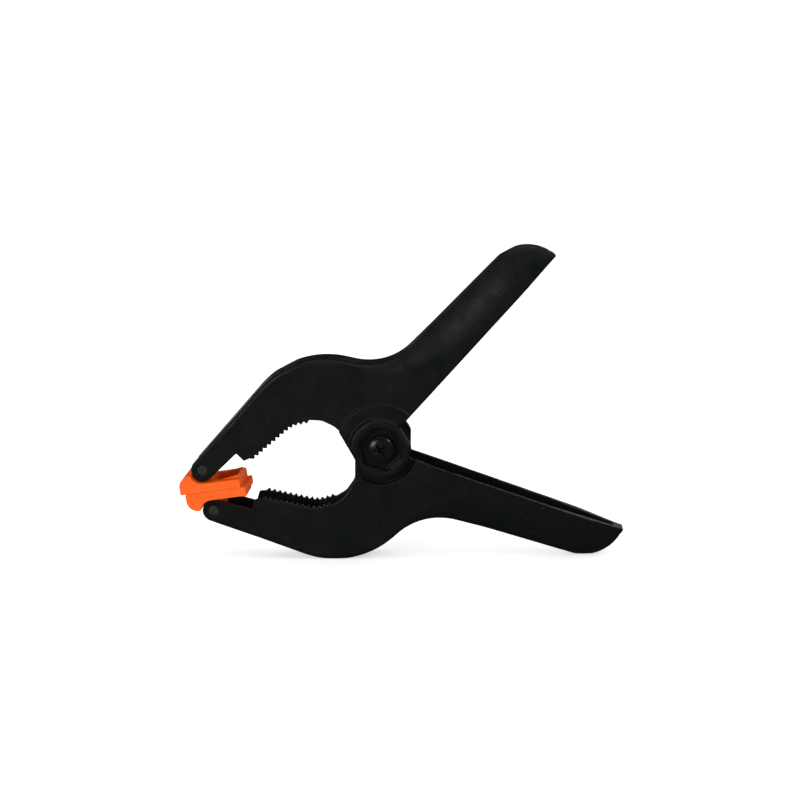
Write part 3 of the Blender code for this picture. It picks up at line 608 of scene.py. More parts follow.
def toothed_edge():
    """The toothed edge: a straight run that rounds over to the throat, a tooth at every second point."""
    path = filleted([(TEETH_START, 0), (TEETH_TOP, TEETH_TOP_RADIUS), (TEETH_END, 0)])
    length = path_lengths(path)[-1]
    last = 2 * round(length / TOOTH_PITCH)
    places = [TEETH_START] + stretch(path, 0, length, last)
    points = []
    for i, place in enumerate(places):
        way = (places[min(i + 1, last)] - places[max(i - 1, 0)]).normalized()
        points.append(place + Vector((way.y, -way.x)) * (TOOTH_HEIGHT if i % 2 else 0))
    return points


def throat():
    """The rounded throat, from the last tooth to the ear's front flat."""
    foot = flat_end(EAR_PLATEAU_RADIUS, LUG_WIDTH / 2) + LUG_SIDE * OVERLAP
    return filleted([(TEETH_END, 0), (THROAT_FIRST, THROAT_RADIUS), (THROAT_SECOND, THROAT_RADIUS),
                     (foot, 0)])[1:]


def arm_stations():
    """Pairs of points across the arm, one on its back and one on its inner edge, tip to end."""
    back = filleted(back_corners())
    foot, corner = throat()[-1], handle_corner()
    end_round = path_lengths(back)[-1] - HANDLE_END_RADIUS * math.pi / 2 - HANDLE_END_FACE
    inner_end = handle_point(HANDLE_LENGTH, 0)
    round_start = handle_point(HANDLE_LENGTH - HANDLE_END_RADIUS, 0)
    handle_start = handle_point(HANDLE_ROOT, 0)
    zones = [
        (length_at(back, -BACK_AT_NOTCH), [notch()]),
        (length_at(back, -BACK_AT_STEP), [STEP]),
        (length_at(back, -BACK_AT_FIRST_TOOTH), [TEETH_START]),
        (length_at(back, -BACK_AT_LAST_TOOTH), toothed_edge()[1:]),
        (length_at(back, -BACK_AT_THROAT), throat()),
        (length_at(back, corner.x), straight(foot, corner, EAR_STATIONS)),
        (length_at(back, HANDLE_ROOT_BACK), straight(corner, handle_start, ROOT_STATIONS)),
        (end_round, straight(handle_start, round_start, HANDLE_STATIONS)),
        (path_lengths(back)[-1], straight(round_start, inner_end, END_STATIONS)),
    ]
    stations = [(back[0], jaw_bar_start())]
    reached = 0.0
    for reach, inner in zones:
        stations += list(zip(stretch(back, reached, reach, len(inner)), inner))
        reached = reach
    return stations


def tip_stations():
    """Chords across the round jaw tip, from its end to where the jaw's straight edges begin."""
    upper = arc(PIN, TIP_RADIUS, TIP_TOP_START, JAW_BACK_SLOPE + math.pi / 2)
    sweep = math.tau + JAW_BAR_SLOPE - math.pi / 2 - TIP_BOTTOM_START
    steps = len(upper) - 1
    lower = [PIN + TIP_RADIUS * heading(TIP_BOTTOM_START + sweep * i / steps) for i in range(steps + 1)]
    return list(zip(upper, lower))[:-1]


def half_width(u):
    places = [0, ROOT_U * WIDEST_AT, (ROOT_U + END_U) / 2, END_U - HANDLE_END_RADIUS * END_TAPER, END_U]
    widths = [JAW_WIDTH, HANDLE_ROOT_WIDTH, HANDLE_MIDDLE_WIDTH, HANDLE_END_WIDTH, HANDLE_TIP_WIDTH]
    return float(np.interp(u, places, widths)) / 2


def edge_radius(u):
    places = [-PIN_AHEAD, -NOTCH_AHEAD, 0, ROOT_U, END_U - HANDLE_END_RADIUS * END_EDGE_TAPER, END_U]
    radii = [TIP_EDGE_RADIUS, JAW_EDGE_RADIUS, JAW_EDGE_RADIUS, HANDLE_EDGE_RADIUS,
             HANDLE_EDGE_RADIUS, END_EDGE_RADIUS]
    return float(np.interp(u, places, radii))


def crown_depth(u):
    """How far in from the back the rounding reaches down the sides of the handle."""
    places = [0, ROOT_U, END_U - HANDLE_END_RADIUS / 2, END_U]
    return float(np.interp(u, places, [0, HANDLE_CROWN, HANDLE_CROWN, 0]))


def section(back, inner, half, radius, deep):
    """Points round one cross-section: square at the inner edge, rounded at the back, with crowned sides."""
    inward = (inner - back).normalized()
    depth = (inner - back).length
    radius = min(radius, half * ROUND_LIMITS[0], depth * ROUND_LIMITS[1])
    deep = min(max(deep, radius), depth * CROWN_LIMIT)
    share = SIDE_TAPER * min((deep - radius) / (HANDLE_CROWN - HANDLE_EDGE_RADIUS), 1)
    side = [(inner, half)]
    for step in range(ROUND_STEPS, -1, -1):
        angle = math.pi / 2 * step / ROUND_STEPS
        place = back + inward * deep * (1 - math.cos(angle))
        drop = (1 - share) * (1 - math.sin(angle)) + share * math.cos(angle) ** 2
        side.append((place, half - radius * drop))
    ring = side + [(place, -y) for place, y in reversed(side)]
    return [Vector((place.x, y, place.y)) for place, y in ring]


def loft(name, sections):
    """A solid through cross-sections that all have as many points."""
    bm = bmesh.new()
    rings = [[bm.verts.new(place) for place in ring] for ring in sections]
    for ring, following in zip(rings, rings[1:]):
        for i in range(len(ring)):
            j = (i + 1) % len(ring)
            bm.faces.new((ring[i], ring[j], following[j], following[i]))
    bm.faces.new(rings[0])
    bm.faces.new(list(reversed(rings[-1])))
    bmesh.ops.triangulate(bm, faces=bm.faces)
    return mesh_object(name, bm)


def arm_body():
    sections = []
    for back, inner in tip_stations() + arm_stations():
        u = back.x
        sections.append(section(back, inner, half_width(u), edge_radius(u), crown_depth(u)))
    return loft("arm_body", sections)


def channel():
    """The hollow inside the arm: upright sections under the arm's back, open along its inner edge."""
    back = filleted(back_corners())
    start, end = PIN.x, (HANDLE_LENGTH - HANDLE_END_WALL) * ALONG_HANDLE.x
    floor = inset_path(back, WEB)
    floor_u, floor_w = zip(*floor)
    sections = []
    for step in range(CHANNEL_SECTIONS + 1):
        u = start + (end - start) * step / CHANNEL_SECTIONS
        top = Vector((u, np.interp(u, floor_u, floor_w)))
        radius = max(edge_radius(u) - WALL, CHANNEL_CORNER)
        sections.append(section(top, Vector((u, -HALF_JAW)), half_width(u) - WALL, radius,
                                crown_depth(u) * CHANNEL_CROWN))
    return loft("channel", sections)


def lug_round(radius, half):
    reach = math.asin(min(half / radius, 1.0))
    down = math.atan2(LUG_DOWN.y, LUG_DOWN.x)
    return arc(ORIGIN, radius, down - reach, down + reach)


def ear_outline(radius, half, plateau):
    """An ear: a round end about the screw, two flats and an arc that ends it on the arm's wall."""
    rear = handle_point(plateau, OVERLAP)
    front = flat_end(plateau, half)
    corner = crossing(handle_point(0, OVERLAP), ALONG_HANDLE, lug_point(0, half), LUG_DOWN)
    start, end = (math.atan2(p.y, p.x) for p in (rear, front))
    return lug_round(radius, half) + [corner] + arc(ORIGIN, plateau, start, end)


def boss_outline():
    below = lug_round(EAR_RADIUS - OVERLAP, LUG_WIDTH / 2 - OVERLAP)
    above = lug_round(BOSS_TOP_RADIUS, LUG_WIDTH / 2 - OVERLAP)
    return below + [-p for p in above]


def bevel_rims(solid, width, level, segments):
    """Bevel the edges of the solid's flat end at y = level."""
    bm = bmesh.new()
    bm.from_mesh(solid.data)
    rim = [e for e in bm.edges if all(abs(v.co.y - level) < WELD * 10 for v in e.verts)
           and any(abs(f.normal.y) < 0.5 for f in e.link_faces)]
    bmesh.ops.bevel(bm, geom=rim, offset=width, segments=segments, profile=0.5, affect="EDGES")
    bm.to_mesh(solid.data)
    bm.free()


def outer_ear():
    """The ear with the screw's pocket, on the arm's near side."""
    ear = slab("outer_ear", ear_outline(EAR_RADIUS, LUG_WIDTH / 2, EAR_PLATEAU_RADIUS),
               -BOSS_FOOT, -OUTER_EAR_FACE)
    bevel_rims(ear, BOSS_CHAMFER / 2, -BOSS_FOOT, segments=1)
    boss = slab("boss", boss_outline(), -BOSS_FACE, -BOSS_FOOT + BOSS_CHAMFER)
    bevel_rims(boss, BOSS_ROUNDING, -BOSS_FACE, segments=4)
    join(ear, boss)
    return ear


def inner_ear():
    """The thinner ear that runs inside the other arm's outer ear, with a spigot for the coil."""
    reach = EAR_PLATEAU_RADIUS + OVERLAP
    ear = slab("inner_ear", ear_outline(INNER_EAR_RADIUS, INNER_EAR_WIDTH / 2, reach),
               COIL_SPACE, INNER_EAR_FACE)
    join(ear, rod("spigot", SPIGOT_RADIUS, GAP / 2, COIL_SPACE + OVERLAP))
    return ear


def rest_line():
    """Lean and height of the line that touches the crown and the handle end from outside."""
    corners = back_corners()
    crown = fillet_centre(*(corners[i][0] for i in (0, 1, 2)), CROWN_RADIUS)
    end = fillet_centre(*(corners[i][0] for i in (2, 3, 4)), HANDLE_END_RADIUS)
    apart = end - crown
    lean = math.atan2(apart.y, apart.x) + math.asin((HANDLE_END_RADIUS - CROWN_RADIUS) / apart.length)
    outward = heading(lean + math.pi / 2)
    return lean, crown.dot(outward) + CROWN_RADIUS - REST_FLAT


def rest_cutter():
    """What is taken off the arm's back to leave two flats in one plane."""
    lean, height = rest_line()
    reach = HANDLE_LENGTH * CUTTER_REACH
    cutter = block("rest_cutter", (-reach, -JAW_WIDTH, height), (reach, JAW_WIDTH, height + reach))
    cutter.data.transform(Matrix.Rotation(-lean, 4, "Y"))
    return cutter


def arm_object():
    """One arm, jaw towards -u and back towards +w, with its outer ear on the -Y side."""
    arm = arm_body()
    slot_half = HALF_JAW - WALL + OVERLAP
    tip_slot = rod("tip_slot", TIP_RADIUS + GAP, -slot_half, slot_half, PIN)
    hub_clear = rod("hub_clear", EAR_RECESS_RADIUS, -OUTER_EAR_FACE, 0)
    ear_recess = rod("ear_recess", EAR_RECESS_RADIUS, INNER_EAR_FACE, JAW_WIDTH)
    cut(arm, channel(), tip_slot, hub_clear, ear_recess)
    join(arm, outer_ear(), inner_ear())
    bore = rod("bore", BORE_RADIUS, -JAW_WIDTH, JAW_WIDTH)
    pin_bore = rod("pin_bore", PIN_BORE_RADIUS, -JAW_WIDTH, JAW_WIDTH, PIN)
    hex_radius = HEX_ACROSS_FLATS / 2 / math.cos(math.pi / 6)
    pocket = rod("pocket", hex_radius, -BOSS_FACE * 2, -HEX_FLOOR, sides=6)
    mouth = rod("mouth", hex_radius, -BOSS_FACE * 2, POCKET_MOUTH - BOSS_FACE)
    cut(arm, bore, pin_bore, pocket, rest_cutter())
    cut(arm, mouth)
    return moulded(arm, ARM_VOXEL, ARM_KEEP, ARM_SMOOTHING)


# -------- pads and pins

def pad_profile():
    """Side view of a pad about its pin: gripping face below, nose at the front, plate behind."""
    face, plate = -PAD_PIN_HEIGHT - FACE_PROUD, PAD_PLATE - PAD_PIN_HEIGHT
    nose = PAD_NOSE_HEIGHT - PAD_PIN_HEIGHT
    seat = -plate
    seat_start = math.pi + math.asin(min(-nose / seat, NOSE_LIMIT))
    nose_top = Vector((seat * math.cos(seat_start), nose))
    corners = [(Vector((PAD_REAR, face)), 0), (Vector((PAD_REAR, plate)), PAD_EDGE_RADIUS)]
    front = [(nose_top, PAD_FINE_RADIUS), (Vector((-PAD_FRONT, nose)), PAD_NOSE_RADIUS),
             (Vector((-PAD_FRONT, face)), PAD_EDGE_RADIUS)]
    seat_arc = arc(ORIGIN, seat, math.pi * 1.5, seat_start)
    return filleted(corners + [(p, 0) for p in seat_arc[:-1]] + front)


def pad_object():
    """A pad about its pin, gripping face down, nose towards -u."""
    face, plate = -PAD_PIN_HEIGHT, PAD_PLATE - PAD_PIN_HEIGHT
    half, rim_half = PAD_WIDTH / 2, PAD_RIM_WIDTH / 2
    pad = slab("pad", pad_profile(), -half, half)
    rim_start, rim_end = -plate, PAD_REAR - OVERLAP * 2
    rim = slab("rim", filleted([(Vector((rim_start, plate - OVERLAP)), 0),
                                (Vector((rim_end, plate - OVERLAP)), 0),
                                (Vector((rim_end, PAD_RIM_HEIGHT + face)), PAD_EDGE_RADIUS)]),
               -rim_half, rim_half)
    join(pad, rim)
    hollow_half = rim_half - PAD_RIM_WALL
    cut(pad, block("hollow", (plate * HOLLOW_FRONT, -hollow_half, face + PAD_FLOOR),
                   (PAD_REAR - PAD_RIM_WALL, hollow_half, PAD_RIM_HEIGHT)))
    lug_half = min(HALF_JAW - WALL - GAP, hollow_half - GAP)
    lug = rod("lug", PAD_LUG_RADIUS, -lug_half, lug_half)
    foot_half = PAD_LUG_RADIUS * LUG_FOOT_HALF
    join(lug, block("lug_foot", (-foot_half, -lug_half, face + PAD_FLOOR - OVERLAP),
                    (foot_half, lug_half, -PAD_LUG_RADIUS * LUG_FOOT_TOP)))
    join(pad, lug)
    cut(pad, rod("pad_bore", PIN_BORE_RADIUS, -half, half))
    return moulded(pad, PAD_VOXEL, PAD_KEEP, PAD_SMOOTHING)


def pin_object():
    """A pin with riveted ends that nearly fill the holes in the jaw."""
    half, end = HALF_JAW - OVERLAP, PIN_BORE_RADIUS - PIN_END_GAP
    tip = [(0, half + PIN_END_DOME, 0), (end - PIN_END_EDGE, half, PIN_END_EDGE),
           (end, half - PIN_END_EDGE, PIN_END_EDGE), (end, half - WALL + OVERLAP, 0),
           (PIN_RADIUS, half - WALL, 0)]
    profile = tip + [(r, -y, rounding) for r, y, rounding in reversed(tip)]
    return lathe("pin", rounded_profile(profile), sides=64)


# -------- screw, washer, nut

def thread(radius, y, angle):
    """Radius of the screw's shank with a thread cut in its nut end."""
    turn = (y / THREAD_PITCH + angle / math.tau) % 1.0
    cut_depth = THREAD_DEPTH * (1 - abs(2 * turn - 1)) ** THREAD_SHARPNESS
    fade = min(max(y / THREAD_FADE, 0.0), 1.0) * min(max((SCREW_END - y) / THREAD_END_FADE, 0.0), 1.0)
    return radius - cut_depth * fade if radius > SCREW_RADIUS * THREAD_CORE else radius


def shank_object(seat):
    """The screw's shank, from inside its head to its far end."""
    start = seat - SHANK_IN_HEAD
    count = round((SCREW_END - SHANK_CHAMFER - seat - SHANK_START) / THREAD_STEP)
    side = [(SCREW_RADIUS, seat + SHANK_START + i * THREAD_STEP) for i in range(count)]
    profile = [(0, start), (SCREW_RADIUS, start)] + side
    profile += [(SCREW_RADIUS - SHANK_CHAMFER, SCREW_END), (0, SCREW_END)]
    return lathe("shank", profile, sides=96, shape=thread)


def cross_blade(top, turn):
    """One of the two tapered blades that cut the head's cross."""
    bm = bmesh.new()
    bmesh.ops.create_cone(bm, cap_ends=True, segments=4, radius1=CROSS_WIDTH * CROSS_FLOOR,
                          radius2=CROSS_WIDTH * CROSS_MOUTH, depth=CROSS_DEPTH + 2 * OVERLAP)
    bmesh.ops.rotate(bm, matrix=Matrix.Rotation(math.pi / 4, 3, "Z"), verts=bm.verts)
    for vert in bm.verts:
        vert.co.x *= CROSS_LENGTH / CROSS_WIDTH
    place = (Matrix.Translation((0, top + CROSS_DEPTH / 2 - OVERLAP, 0))
             @ Matrix.Rotation(-CROSS_TURN - turn, 4, "Y") @ Matrix.Rotation(math.pi / 2, 4, "X"))
    bmesh.ops.transform(bm, matrix=place, verts=bm.verts)
    return mesh_object("cross", bm)


def screw_object():
    """Pan-head screw along Y: head at -Y, in the near pocket, and thread end at +Y."""
    seat = -HEX_FLOOR - GAP
    top = seat - HEAD_HEIGHT
    shank = shank_object(seat)
    dome = [(HEAD_RADIUS * math.cos(math.radians(a)),
             seat - HEAD_EDGE - (HEAD_HEIGHT - HEAD_EDGE) * math.sin(math.radians(a)))
            for a in range(0, 90, 4)]
    far, near = HEAD_FOOT_EDGES
    foot = [(0, seat), (HEAD_RADIUS - far, seat), (HEAD_RADIUS - near, seat - near),
            (HEAD_RADIUS, seat - far)]
    head = lathe("head", foot + dome + [(0, top)])
    cut(head, cross_blade(top, 0), cross_blade(top, math.pi / 2))
    fine_edges(head, HEAD_FINE_EDGE, angle=35)
    return joined("pivot_screw_fine", [head, shank])


def washer_object():
    low = HEX_FLOOR + GAP
    return ring_object("washer", BORE_RADIUS, WASHER_RADIUS, low, low + WASHER_THICKNESS, WASHER_EDGE)


def nut_object():
    """Lock nut: a chamfered hexagon with a round collar that holds the insert."""
    flat = NUT_ACROSS_FLATS / 2
    corner = flat / math.cos(math.pi / 6)
    shoulder = NUT_FOOT + NUT_HEIGHT
    nut = rod("nut", corner, NUT_FOOT, shoulder, sides=6, turn=NUT_TURN)
    drop = (corner - flat) * math.tan(NUT_CHAMFER) * NUT_CHAMFER_DROP
    face, past = flat * NUT_FACE, corner + OVERLAP
    keep = lathe("nut_chamfer", [(0, NUT_FOOT), (face, NUT_FOOT), (past, NUT_FOOT + drop),
                                 (past, shoulder - drop), (face, shoulder), (0, shoulder)])
    combine(nut, [keep], "INTERSECT")
    join(nut, lathe("collar", rounded_profile([
        (0, shoulder - OVERLAP, 0), (NUT_COLLAR_RADIUS, shoulder - OVERLAP, 0),
        (NUT_COLLAR_RADIUS, NUT_TOP, COLLAR_ROUNDING), (0, NUT_TOP, 0)])))
    cut(nut, rod("nut_bore", BORE_RADIUS, 0, BOSS_FACE * 2),
        rod("insert_seat", INSERT_RADIUS + GAP, NUT_TOP - 2 * GAP - INSERT_THICKNESS, BOSS_FACE * 2))
    return fine_edges(nut, NUT_FINE_EDGE, angle=25)


def insert_object():
    high = NUT_TOP - GAP
    return ring_object("insert", BORE_RADIUS - GAP * INSERT_GRIP, INSERT_RADIUS, high - INSERT_THICKNESS,
                       high, INSERT_EDGE)


# -------- spring

def leg_depth():
    """Depth of a leg's centre line under the handle's back, clear of the channel's round corner."""
    corner = HANDLE_EDGE_RADIUS - WALL
    room = corner * math.cos(math.pi / 12) - WIRE_RADIUS - GAP
    aside = COIL_SPACE - GAP - WIRE_RADIUS - (HANDLE_MIDDLE_WIDTH / 2 - WALL - corner)
    return WEB + corner - math.sqrt(room ** 2 - aside ** 2)


def leg_route():
    """A leg in the upper handle, from the coil outwards: tangent point, knee and foot end."""
    root = handle_point(HANDLE_ROOT, HANDLE_DEPTH_ROOT)
    end = handle_point(HANDLE_LENGTH, HANDLE_DEPTH_END)
    along_back = (end - root).normalized()
    off_back = Vector((along_back.y, -along_back.x)) * leg_depth()
    knee = root + along_back * (LEG_REACH - HANDLE_ROOT) + off_back
    reach = math.acos(COIL_RADIUS / knee.length)
    tangent = COIL_RADIUS * heading(math.atan2(knee.y, knee.x) + reach)
    return tangent, knee, knee + along_back * LEG_FOOT


def spring_object():
    tangent, knee, foot = leg_route()
    start = math.atan2(tangent.y, tangent.x)
    sweep = math.tau * COIL_TURNS + 2 * (math.pi - start)
    half = COIL_SPACE - GAP - WIRE_RADIUS
    count = round(COIL_STEPS * sweep / math.tau)
    coil = []
    for i in range(count + 1):
        place = COIL_RADIUS * heading(start + sweep * i / count)
        coil.append(Vector((place.x, half - 2 * half * (i / count), place.y)))
    out = (knee - tangent).normalized()
    first, second = (tangent + out * way for way in LEG_STARTS)
    leg = [first] + filleted([(second, 0), (knee, LEG_BEND), (foot, 0)])
    upper = [Vector((p.x, half, p.y)) for p in reversed(leg)]
    lower = [Vector((p.x, -half, -p.y)) for p in leg]
    curve, spline = poly_curve("spring", "3D", upper + coil + lower)
    curve.bevel_depth = WIRE_RADIUS
    curve.bevel_resolution = WIRE_STEPS
    curve.use_fill_caps = True
    spline.points[0].radius = spline.points[-1].radius = WIRE_END
    return solid_from_curve(add_object("spring", curve))


# -------- materials

def new_material(name):
    made = bpy.data.materials.new(name)
    made.use_nodes = True
    return made, made.node_tree, made.node_tree.nodes["Principled BSDF"]


def object_coords(tree):
    return tree.nodes.new("ShaderNodeTexCoord").outputs["Object"]


def noise(tree, coords, scale, detail=2.0, roughness=0.5):
    """A noise texture; scale is in cells per metre."""
    texture = tree.nodes.new("ShaderNodeTexNoise")
    texture.inputs["Scale"].default_value = scale
    texture.inputs["Detail"].default_value = detail
    texture.inputs["Roughness"].default_value = roughness
    tree.links.new(coords, texture.inputs["Vector"])
    return texture.outputs["Fac"]


def ramp(tree, value, ends, low_colour, high_colour):
    """The value as a colour, from the low one to the high one between the ends."""
    made = tree.nodes.new("ShaderNodeValToRGB")
    first, last = made.color_ramp.elements
    first.position, last.position = ends
    first.color, last.color = (*low_colour, 1.0), (*high_colour, 1.0)
    tree.links.new(value, made.inputs["Fac"])
    return made.outputs["Color"]


def remap(tree, value, given, wanted):
    """The value moved from the given range to the wanted one."""
    made = tree.nodes.new("ShaderNodeMapRange")
    for key, number in zip(("From Min", "From Max", "To Min", "To Max"), (*given, *wanted)):
        made.inputs[key].default_value = number
    tree.links.new(value, made.inputs["Value"])
    return made.outputs["Result"]


def bump(tree, height, strength, distance, before=None):
    made = tree.nodes.new("ShaderNodeBump")
    made.inputs["Strength"].default_value = strength
    made.inputs["Distance"].default_value = distance
    tree.links.new(height, made.inputs["Height"])
    if before:
        tree.links.new(before, made.inputs["Normal"])
    return made.outputs["Normal"]


def painted_rim_highlight(tree, colour, highlight_colour, amount):
    """The colour, with a lighter one mixed in along convex edges: a painted highlight on the rims."""
    edges = ramp(tree, tree.nodes.new("ShaderNodeNewGeometry").outputs["Pointiness"], (0.52, 0.60),
                 (0, 0, 0), (1, 1, 1))
    share = tree.nodes.new("ShaderNodeMath")
    share.operation = "MULTIPLY"
    share.inputs[1].default_value = amount
    tree.links.new(edges, share.inputs[0])
    mix = tree.nodes.new("ShaderNodeMix")
    mix.data_type = "RGBA"
    mix.inputs["B"].default_value = (*highlight_colour, 1)
    tree.links.new(share.outputs[0], mix.inputs["Factor"])
    tree.links.new(colour, mix.inputs["A"])
    return mix.outputs["Result"]


def black_nylon():
    """Glass-filled nylon with an eroded grain, glossier in patches and lighter on its convex edges, a painted
    highlight.
    """
    made, tree, shader = new_material("black_nylon")
    coords = object_coords(tree)
    grain = noise(tree, coords, 2400, detail=3.0, roughness=0.6)
    pits = noise(tree, coords, 900)
    patches = noise(tree, coords, 150, detail=5.0, roughness=0.7)
    cloud = noise(tree, coords, 60, detail=3.0, roughness=0.55)
    colour = ramp(tree, cloud, (0.3, 0.75), (0.0033, 0.0057, 0.0034), (0.0046, 0.0072, 0.0045))
    # the colour is made lighter along convex edges: a painted highlight on the rims
    tree.links.new(painted_rim_highlight(tree, colour, (0.015, 0.016, 0.0145), 0.6), shader.inputs["Base Color"])
    tree.links.new(remap(tree, patches, (0.40, 0.62), (0.36, 0.56)), shader.inputs["Roughness"])
    shader.inputs["IOR"].default_value = 1.50
    pitted = bump(tree, pits, strength=0.30, distance=0.00012)
    grained = bump(tree, grain, strength=0.35, distance=0.00009, before=pitted)
    tree.links.new(grained, shader.inputs["Normal"])
    return made


def orange_plastic():
    """Orange moulded pads: satin, slightly mottled, with a fine spark-eroded face."""
    made, tree, shader = new_material("orange_moulded")
    coords = object_coords(tree)
    cloud = noise(tree, coords, 220, detail=3.0)
    grain = noise(tree, coords, 3200)
    colour = ramp(tree, cloud, (0.3, 0.7), (0.95, 0.116, 0.004), (0.99, 0.134, 0.008))
    tree.links.new(colour, shader.inputs["Base Color"])
    tree.links.new(remap(tree, cloud, (0.3, 0.7), (0.36, 0.46)), shader.inputs["Roughness"])
    shader.inputs["Specular IOR Level"].default_value = 0.22
    shader.inputs["Subsurface Weight"].default_value = 0.12
    shader.inputs["Subsurface Radius"].default_value = (0.0016, 0.0005, 0.0002)
    shader.inputs["Subsurface Scale"].default_value = 1.0
    tree.links.new(bump(tree, grain, strength=0.20, distance=0.00005), shader.inputs["Normal"])
    return made


def steel(name, dark, light, rough, scale=700, bump_depth=0.00003, metallic=1.0, gloss=0.5):
    """Metal with fine streaks and rubbed spots."""
    made, tree, shader = new_material(name)
    coords = object_coords(tree)
    spots = noise(tree, coords, scale, detail=4.0, roughness=0.6)
    fine = noise(tree, coords, scale * 6)
    tree.links.new(ramp(tree, spots, (0.35, 0.75), dark, light), shader.inputs["Base Color"])
    tree.links.new(remap(tree, spots, (0.3, 0.7), (rough * 0.85, rough * 1.2)), shader.inputs["Roughness"])
    shader.inputs["Metallic"].default_value = metallic
    shader.inputs["Specular IOR Level"].default_value = gloss
    tree.links.new(bump(tree, fine, strength=0.25, distance=bump_depth), shader.inputs["Normal"])
    return made


def clouded(name, scale, detail, dark, light, rough):
    """A plain material, a little lighter in places."""
    made, tree, shader = new_material(name)
    cloud = noise(tree, object_coords(tree), scale, detail)
    tree.links.new(ramp(tree, cloud, (0.3, 0.7), dark, light), shader.inputs["Base Color"])
    shader.inputs["Roughness"].default_value = rough
    return made, shader


# -------- assembly

def dress(node, mesh, matrix, look, body, slot):
    """A fine piece in the row's frame that stands for a CAD node."""
    made = add_object(f"{node}_fine", mesh.copy())
    made.data.transform(matrix)
    made.data.shade_smooth()
    made.data.set_sharp_from_angle(angle=SHARP_ANGLE)
    made.data.materials.clear()
    made.data.materials.append(look)
    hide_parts(node)
    if body:
        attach(made, body)
    return made


def taken(source):
    """The mesh of a construction object, which is removed."""
    mesh = source.data
    bpy.data.objects.remove(source, do_unlink=True)
    return mesh


def joint(name):
    return next(j for j in frame["joints"] if j["name"] == name)


def build_clamp():
    pivot = Vector(joint("jaw_hinge")["pos_m"])
    lean = rest_line()[0]
    clamp = Matrix.Translation(pivot) @ Matrix.Rotation(-lean, 4, "Y")
    turned_over = clamp @ Matrix.Rotation(math.pi, 4, "X")
    pin_place = Matrix.Translation((PIN.x, 0, PIN.y))
    black, orange = black_nylon(), orange_plastic()
    dark_pin = steel("pin_steel", (0.018, 0.021, 0.017), (0.030, 0.034, 0.028), 0.45, metallic=0.0)
    black_steel = steel("black_screw", (0.0045, 0.0060, 0.0040), (0.0070, 0.0090, 0.0060), 0.26, scale=300,
                        bump_depth=0.000002, metallic=0.0, gloss=0.9)
    zinc = steel("zinc_plate", (0.42, 0.42, 0.40), (0.62, 0.62, 0.60), 0.30, metallic=0.6)
    wire = steel("spring_wire", (0.20, 0.20, 0.20), (0.36, 0.36, 0.36), 0.32, metallic=0.7)
    nylon = clouded("nylon_ring", 500, 2.0, (0.70, 0.71, 0.68), (0.80, 0.81, 0.79), 0.5)[0]
    arm, pad, pin = taken(arm_object()), taken(pad_object()), taken(pin_object())
    for side, place, sense in (("upper", clamp, 1), ("lower", turned_over, -1)):
        at_pin = place @ pin_place
        swivel = at_pin @ Matrix.Rotation(sense * PAD_LEAN, 4, "Y")
        dress(f"{side}_arm", arm, place, black, f"{side}_side", "black_plastic")
        dress(f"{side}_pad_pin", pin, at_pin, dark_pin, f"{side}_side", "dark_pin")
        dress(f"{side}_pad", pad, swivel, orange, f"{side}_pad", "orange_plastic")
    for node, make, look, slot in (("pivot_screw", screw_object, black_steel, "black_steel"),
                                   ("pivot_washer", washer_object, zinc, "zinc_steel"),
                                   ("lock_nut", nut_object, zinc, "zinc_steel"),
                                   ("nut_insert", insert_object, nylon, "nylon")):
        dress(node, taken(make()), clamp, look, "lower_side", slot)
    spring = dress("torsion_spring", taken(spring_object()), clamp, wire, None, "spring_steel")
    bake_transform(spring)


# -------- floor, light and camera

IMAGE_WIDTH = 800               # pixels
SENSOR_WIDTH = 36               # millimetres
CAMERA = dict(azimuth=3.135, elevation=10.734, roll=-1.102, from_hinge=(0.008, 0.0, 0.015), distance=0.6236,
              mm_per_pixel=0.3647, centre=(403.18, 403.50))
FLOOR_GLOW = 0.55
WORLD_STRENGTH = (1.05, 0.56)   # at the horizon and overhead,
WORLD_RISE = (0.10, 0.45)       # with the change between these heights on a unit sphere
LIGHT_TARGET = (0, 0, 0.05)
SOFTBOXES = [                   # name, place, size and watts
    ("front_left", (-0.68, -0.94, 0.34), (0.42, 0.42), 1.6),
    ("front_right", (0.80, -0.40, 0.75), (0.24, 0.24), 1.1),
    ("top", (0.0, -0.10, 1.1), (0.9, 0.5), 1.2),
    ("back_left", (-0.85, 0.75, 0.40), (0.35, 0.35), 1.6),
    ("back_right", (0.60, 1.00, 0.55), (0.35, 0.35), 1.6),
]


def build_floor():
    """A pale table that glows a little, as a lit table does, so that shadows stay faint."""
    bm = bmesh.new()
    bmesh.ops.create_grid(bm, x_segments=4, y_segments=4, size=30.0)
    floor = mesh_object("floor", bm)
    made, shader = clouded("pale_floor", 3, 3.0, (0.86, 0.86, 0.86), (0.88, 0.88, 0.88), 0.85)
    shader.inputs["Emission Color"].default_value = (1, 1, 1, 1)
    shader.inputs["Emission Strength"].default_value = FLOOR_GLOW
    floor.data.materials.append(made)
    floor.visible_glossy = False


def softbox(name, place, size, power):
    data = bpy.data.lights.new(name, "AREA")
    data.shape = "RECTANGLE"
    data.size, data.size_y = size
    data.energy = power
    lamp = add_object(name, data)
    lamp.location = place
    lamp.rotation_euler = (Vector(LIGHT_TARGET) - Vector(place)).to_track_quat("-Z", "Y").to_euler()
    lamp.visible_camera = False


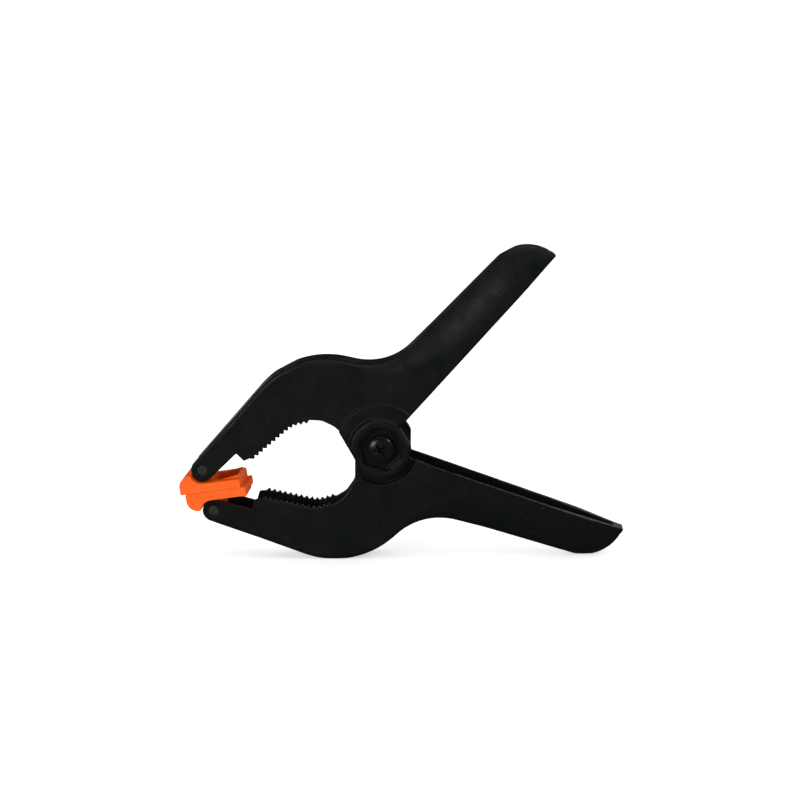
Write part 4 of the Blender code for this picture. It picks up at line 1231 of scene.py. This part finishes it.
def build_lights():
    """White surroundings that give soft light, palest at the horizon, and softboxes that make the gloss."""
    world = bpy.data.worlds.new("studio")
    bpy.context.scene.world = world
    world.use_nodes = True
    tree = world.node_tree
    background = tree.nodes["Background"]
    background.inputs["Color"].default_value = (1, 1, 1, 1)
    split = tree.nodes.new("ShaderNodeSeparateXYZ")
    tree.links.new(tree.nodes.new("ShaderNodeTexCoord").outputs["Generated"], split.inputs["Vector"])
    tree.links.new(remap(tree, split.outputs["Z"], WORLD_RISE, WORLD_STRENGTH), background.inputs["Strength"])
    world.cycles_visibility.glossy = False
    for name, place, size, power in SOFTBOXES:
        softbox(name, place, size, power)


def build_camera():
    """The photograph's camera, aimed from the hinge; its image is shifted and rolled a little."""
    data = bpy.data.cameras.new("camera")
    camera = add_object("camera", data)
    azimuth, elevation, roll = (math.radians(CAMERA[k]) for k in ("azimuth", "elevation", "roll"))
    back = Vector((math.sin(azimuth) * math.cos(elevation), -math.cos(azimuth) * math.cos(elevation),
                   math.sin(elevation)))
    right = Vector((math.cos(azimuth), math.sin(azimuth), 0))
    up = back.cross(right)
    right, up = (right * math.cos(roll) + up * math.sin(roll), up * math.cos(roll) - right * math.sin(roll))
    frame_width = CAMERA["mm_per_pixel"] / 1000 * IMAGE_WIDTH
    data.sensor_width = SENSOR_WIDTH
    data.lens = SENSOR_WIDTH * CAMERA["distance"] / frame_width
    x, y = CAMERA["centre"]
    middle = IMAGE_WIDTH / 2
    shift = (right * (middle - x) - up * (middle - y)) * CAMERA["mm_per_pixel"] / 1000
    target = Vector(joint("jaw_hinge")["pos_m"]) + Vector(CAMERA["from_hinge"])
    place = target + shift + back * CAMERA["distance"]
    matrix = Matrix((right, up, back)).transposed().to_4x4()
    camera.matrix_world = Matrix.Translation(place) @ matrix
    data.clip_start, data.clip_end = 0.01, 50
    bpy.context.scene.camera = camera


build_clamp()
build_floor()
build_lights()
build_camera()
bpy.context.scene.view_settings.view_transform = "Standard"
bpy.context.view_layer.update()
